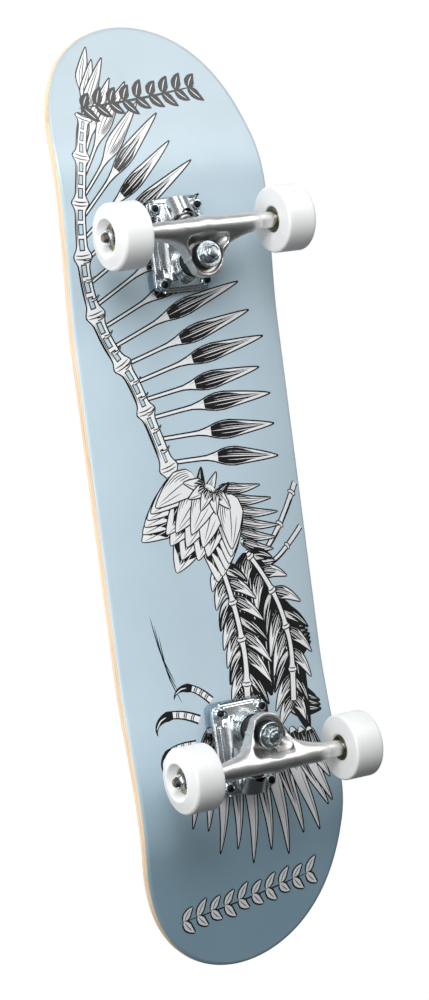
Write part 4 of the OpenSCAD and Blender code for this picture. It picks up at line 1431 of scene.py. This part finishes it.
CAMERA_AT = Vector((0.1417, -1.4143, -2.3273 + UNDER_Z * MM))
CAMERA_LOOK = Vector((-0.053243, 0.520835, 0.851995))
CAMERA_RIGHT = Vector((-0.128395, 0.842553, -0.523086))
CAMERA_LENS = 116.7
WORLD_BELOW, WORLD_ABOVE = 0.22, 0.85
FLOOR_HALF = 25.0


def add_camera():
    data = bpy.data.cameras.new("camera")
    data.lens, data.sensor_width, data.clip_end = CAMERA_LENS, 36, 50
    cam = bpy.data.objects.new("camera", data)
    up = CAMERA_RIGHT.cross(CAMERA_LOOK)
    turn = Matrix((CAMERA_RIGHT, up, -CAMERA_LOOK)).transposed().to_4x4()
    cam.matrix_world = Matrix.Translation(CAMERA_AT) @ turn
    scene.collection.objects.link(cam)
    scene.camera = cam


def area_light(name, at, target, size, power):
    data = bpy.data.lights.new(name, "AREA")
    data.shape = "RECTANGLE"
    data.size, data.size_y = size
    data.energy = power
    light = bpy.data.objects.new(name, data)
    light.location = at
    light.rotation_mode = "QUATERNION"
    light.rotation_quaternion = (Vector(target) - Vector(at)).to_track_quat("-Z", "Y")
    scene.collection.objects.link(light)


def add_lights():
    middle = (0, 0, 0.07)
    area_light("key_nose_left", (1.56, -0.94, -1.50), middle, (1.5, 1.5), 43)
    area_light("soft_nose_right", (1.45, 1.25, -1.30), middle, (1.9, 1.2), 20)
    area_light("fill_left", (0.1, -2.2, -0.9), middle, (1.6, 1.3), 34)
    area_light("top_soft", (0.3, -0.6, 2.2), (0, 0, 0.1), (2.2, 2.2), 30)


def add_world():
    """A white backdrop to the camera; its light is dim from below and the tail, bright from above."""
    world = bpy.data.worlds.new("studio")
    w = Wiring(world)
    w.t.nodes.clear()
    shown, lit = w.new("ShaderNodeBackground"), w.new("ShaderNodeBackground")
    shown.inputs["Color"].default_value = (1, 1, 1, 1)
    split = w.new("ShaderNodeSeparateXYZ")
    w.link(w.new("ShaderNodeTexCoord").outputs["Generated"], split.inputs["Vector"])
    lengthways = w.range(split.outputs["X"], 0, 1, -1, 1)
    tint = w.ramp(lengthways, [(0.15, (0.16, 0.17, 0.18)), (0.75, (1, 1, 1))])
    w.link(tint, lit.inputs["Color"])
    w.link(w.range(split.outputs["Z"], WORLD_BELOW, WORLD_ABOVE, 0, 0.5), lit.inputs["Strength"])
    seen = w.new("ShaderNodeLightPath").outputs["Is Camera Ray"]
    mixed = w.either(seen, lit.outputs["Background"], shown.outputs["Background"])
    w.link(mixed, w.new("ShaderNodeOutputWorld").inputs["Surface"])
    scene.world = world


def add_floor():
    """A pale floor that shows only from above, so that the underside stays in view."""
    size = FLOOR_HALF
    corners = [(-size, -size, 0), (size, -size, 0), (size, size, 0), (-size, size, 0)]
    mesh = bpy.data.meshes.new("floor")
    mesh.from_pydata(corners, [], [(0, 1, 2, 3)])
    floor = bpy.data.objects.new("floor", mesh)
    scene.collection.objects.link(floor)
    b = Builder("pale_floor")
    b.colour(b.ramp(b.noise(3, 4), [(0.3, (0.74, 0.74, 0.74)), (0.7, (0.78, 0.78, 0.78))]))
    b.rough(b.range(b.noise(8, 3), 0.55, 0.7))
    see_through = b.new("ShaderNodeBsdfTransparent").outputs["BSDF"]
    from_below = b.new("ShaderNodeNewGeometry").outputs["Backfacing"]
    out = next(n for n in b.t.nodes if n.type == "OUTPUT_MATERIAL")
    b.link(b.either(from_below, b.bsdf.outputs["BSDF"], see_through), out.inputs["Surface"])
    mesh.materials.append(b.m)
    for rays in ("shadow", "glossy", "diffuse", "transmission"):
        setattr(floor, "visible_" + rays, False)


add_camera()
add_lights()
add_world()
add_floor()
scene.view_settings.view_transform = "Standard"
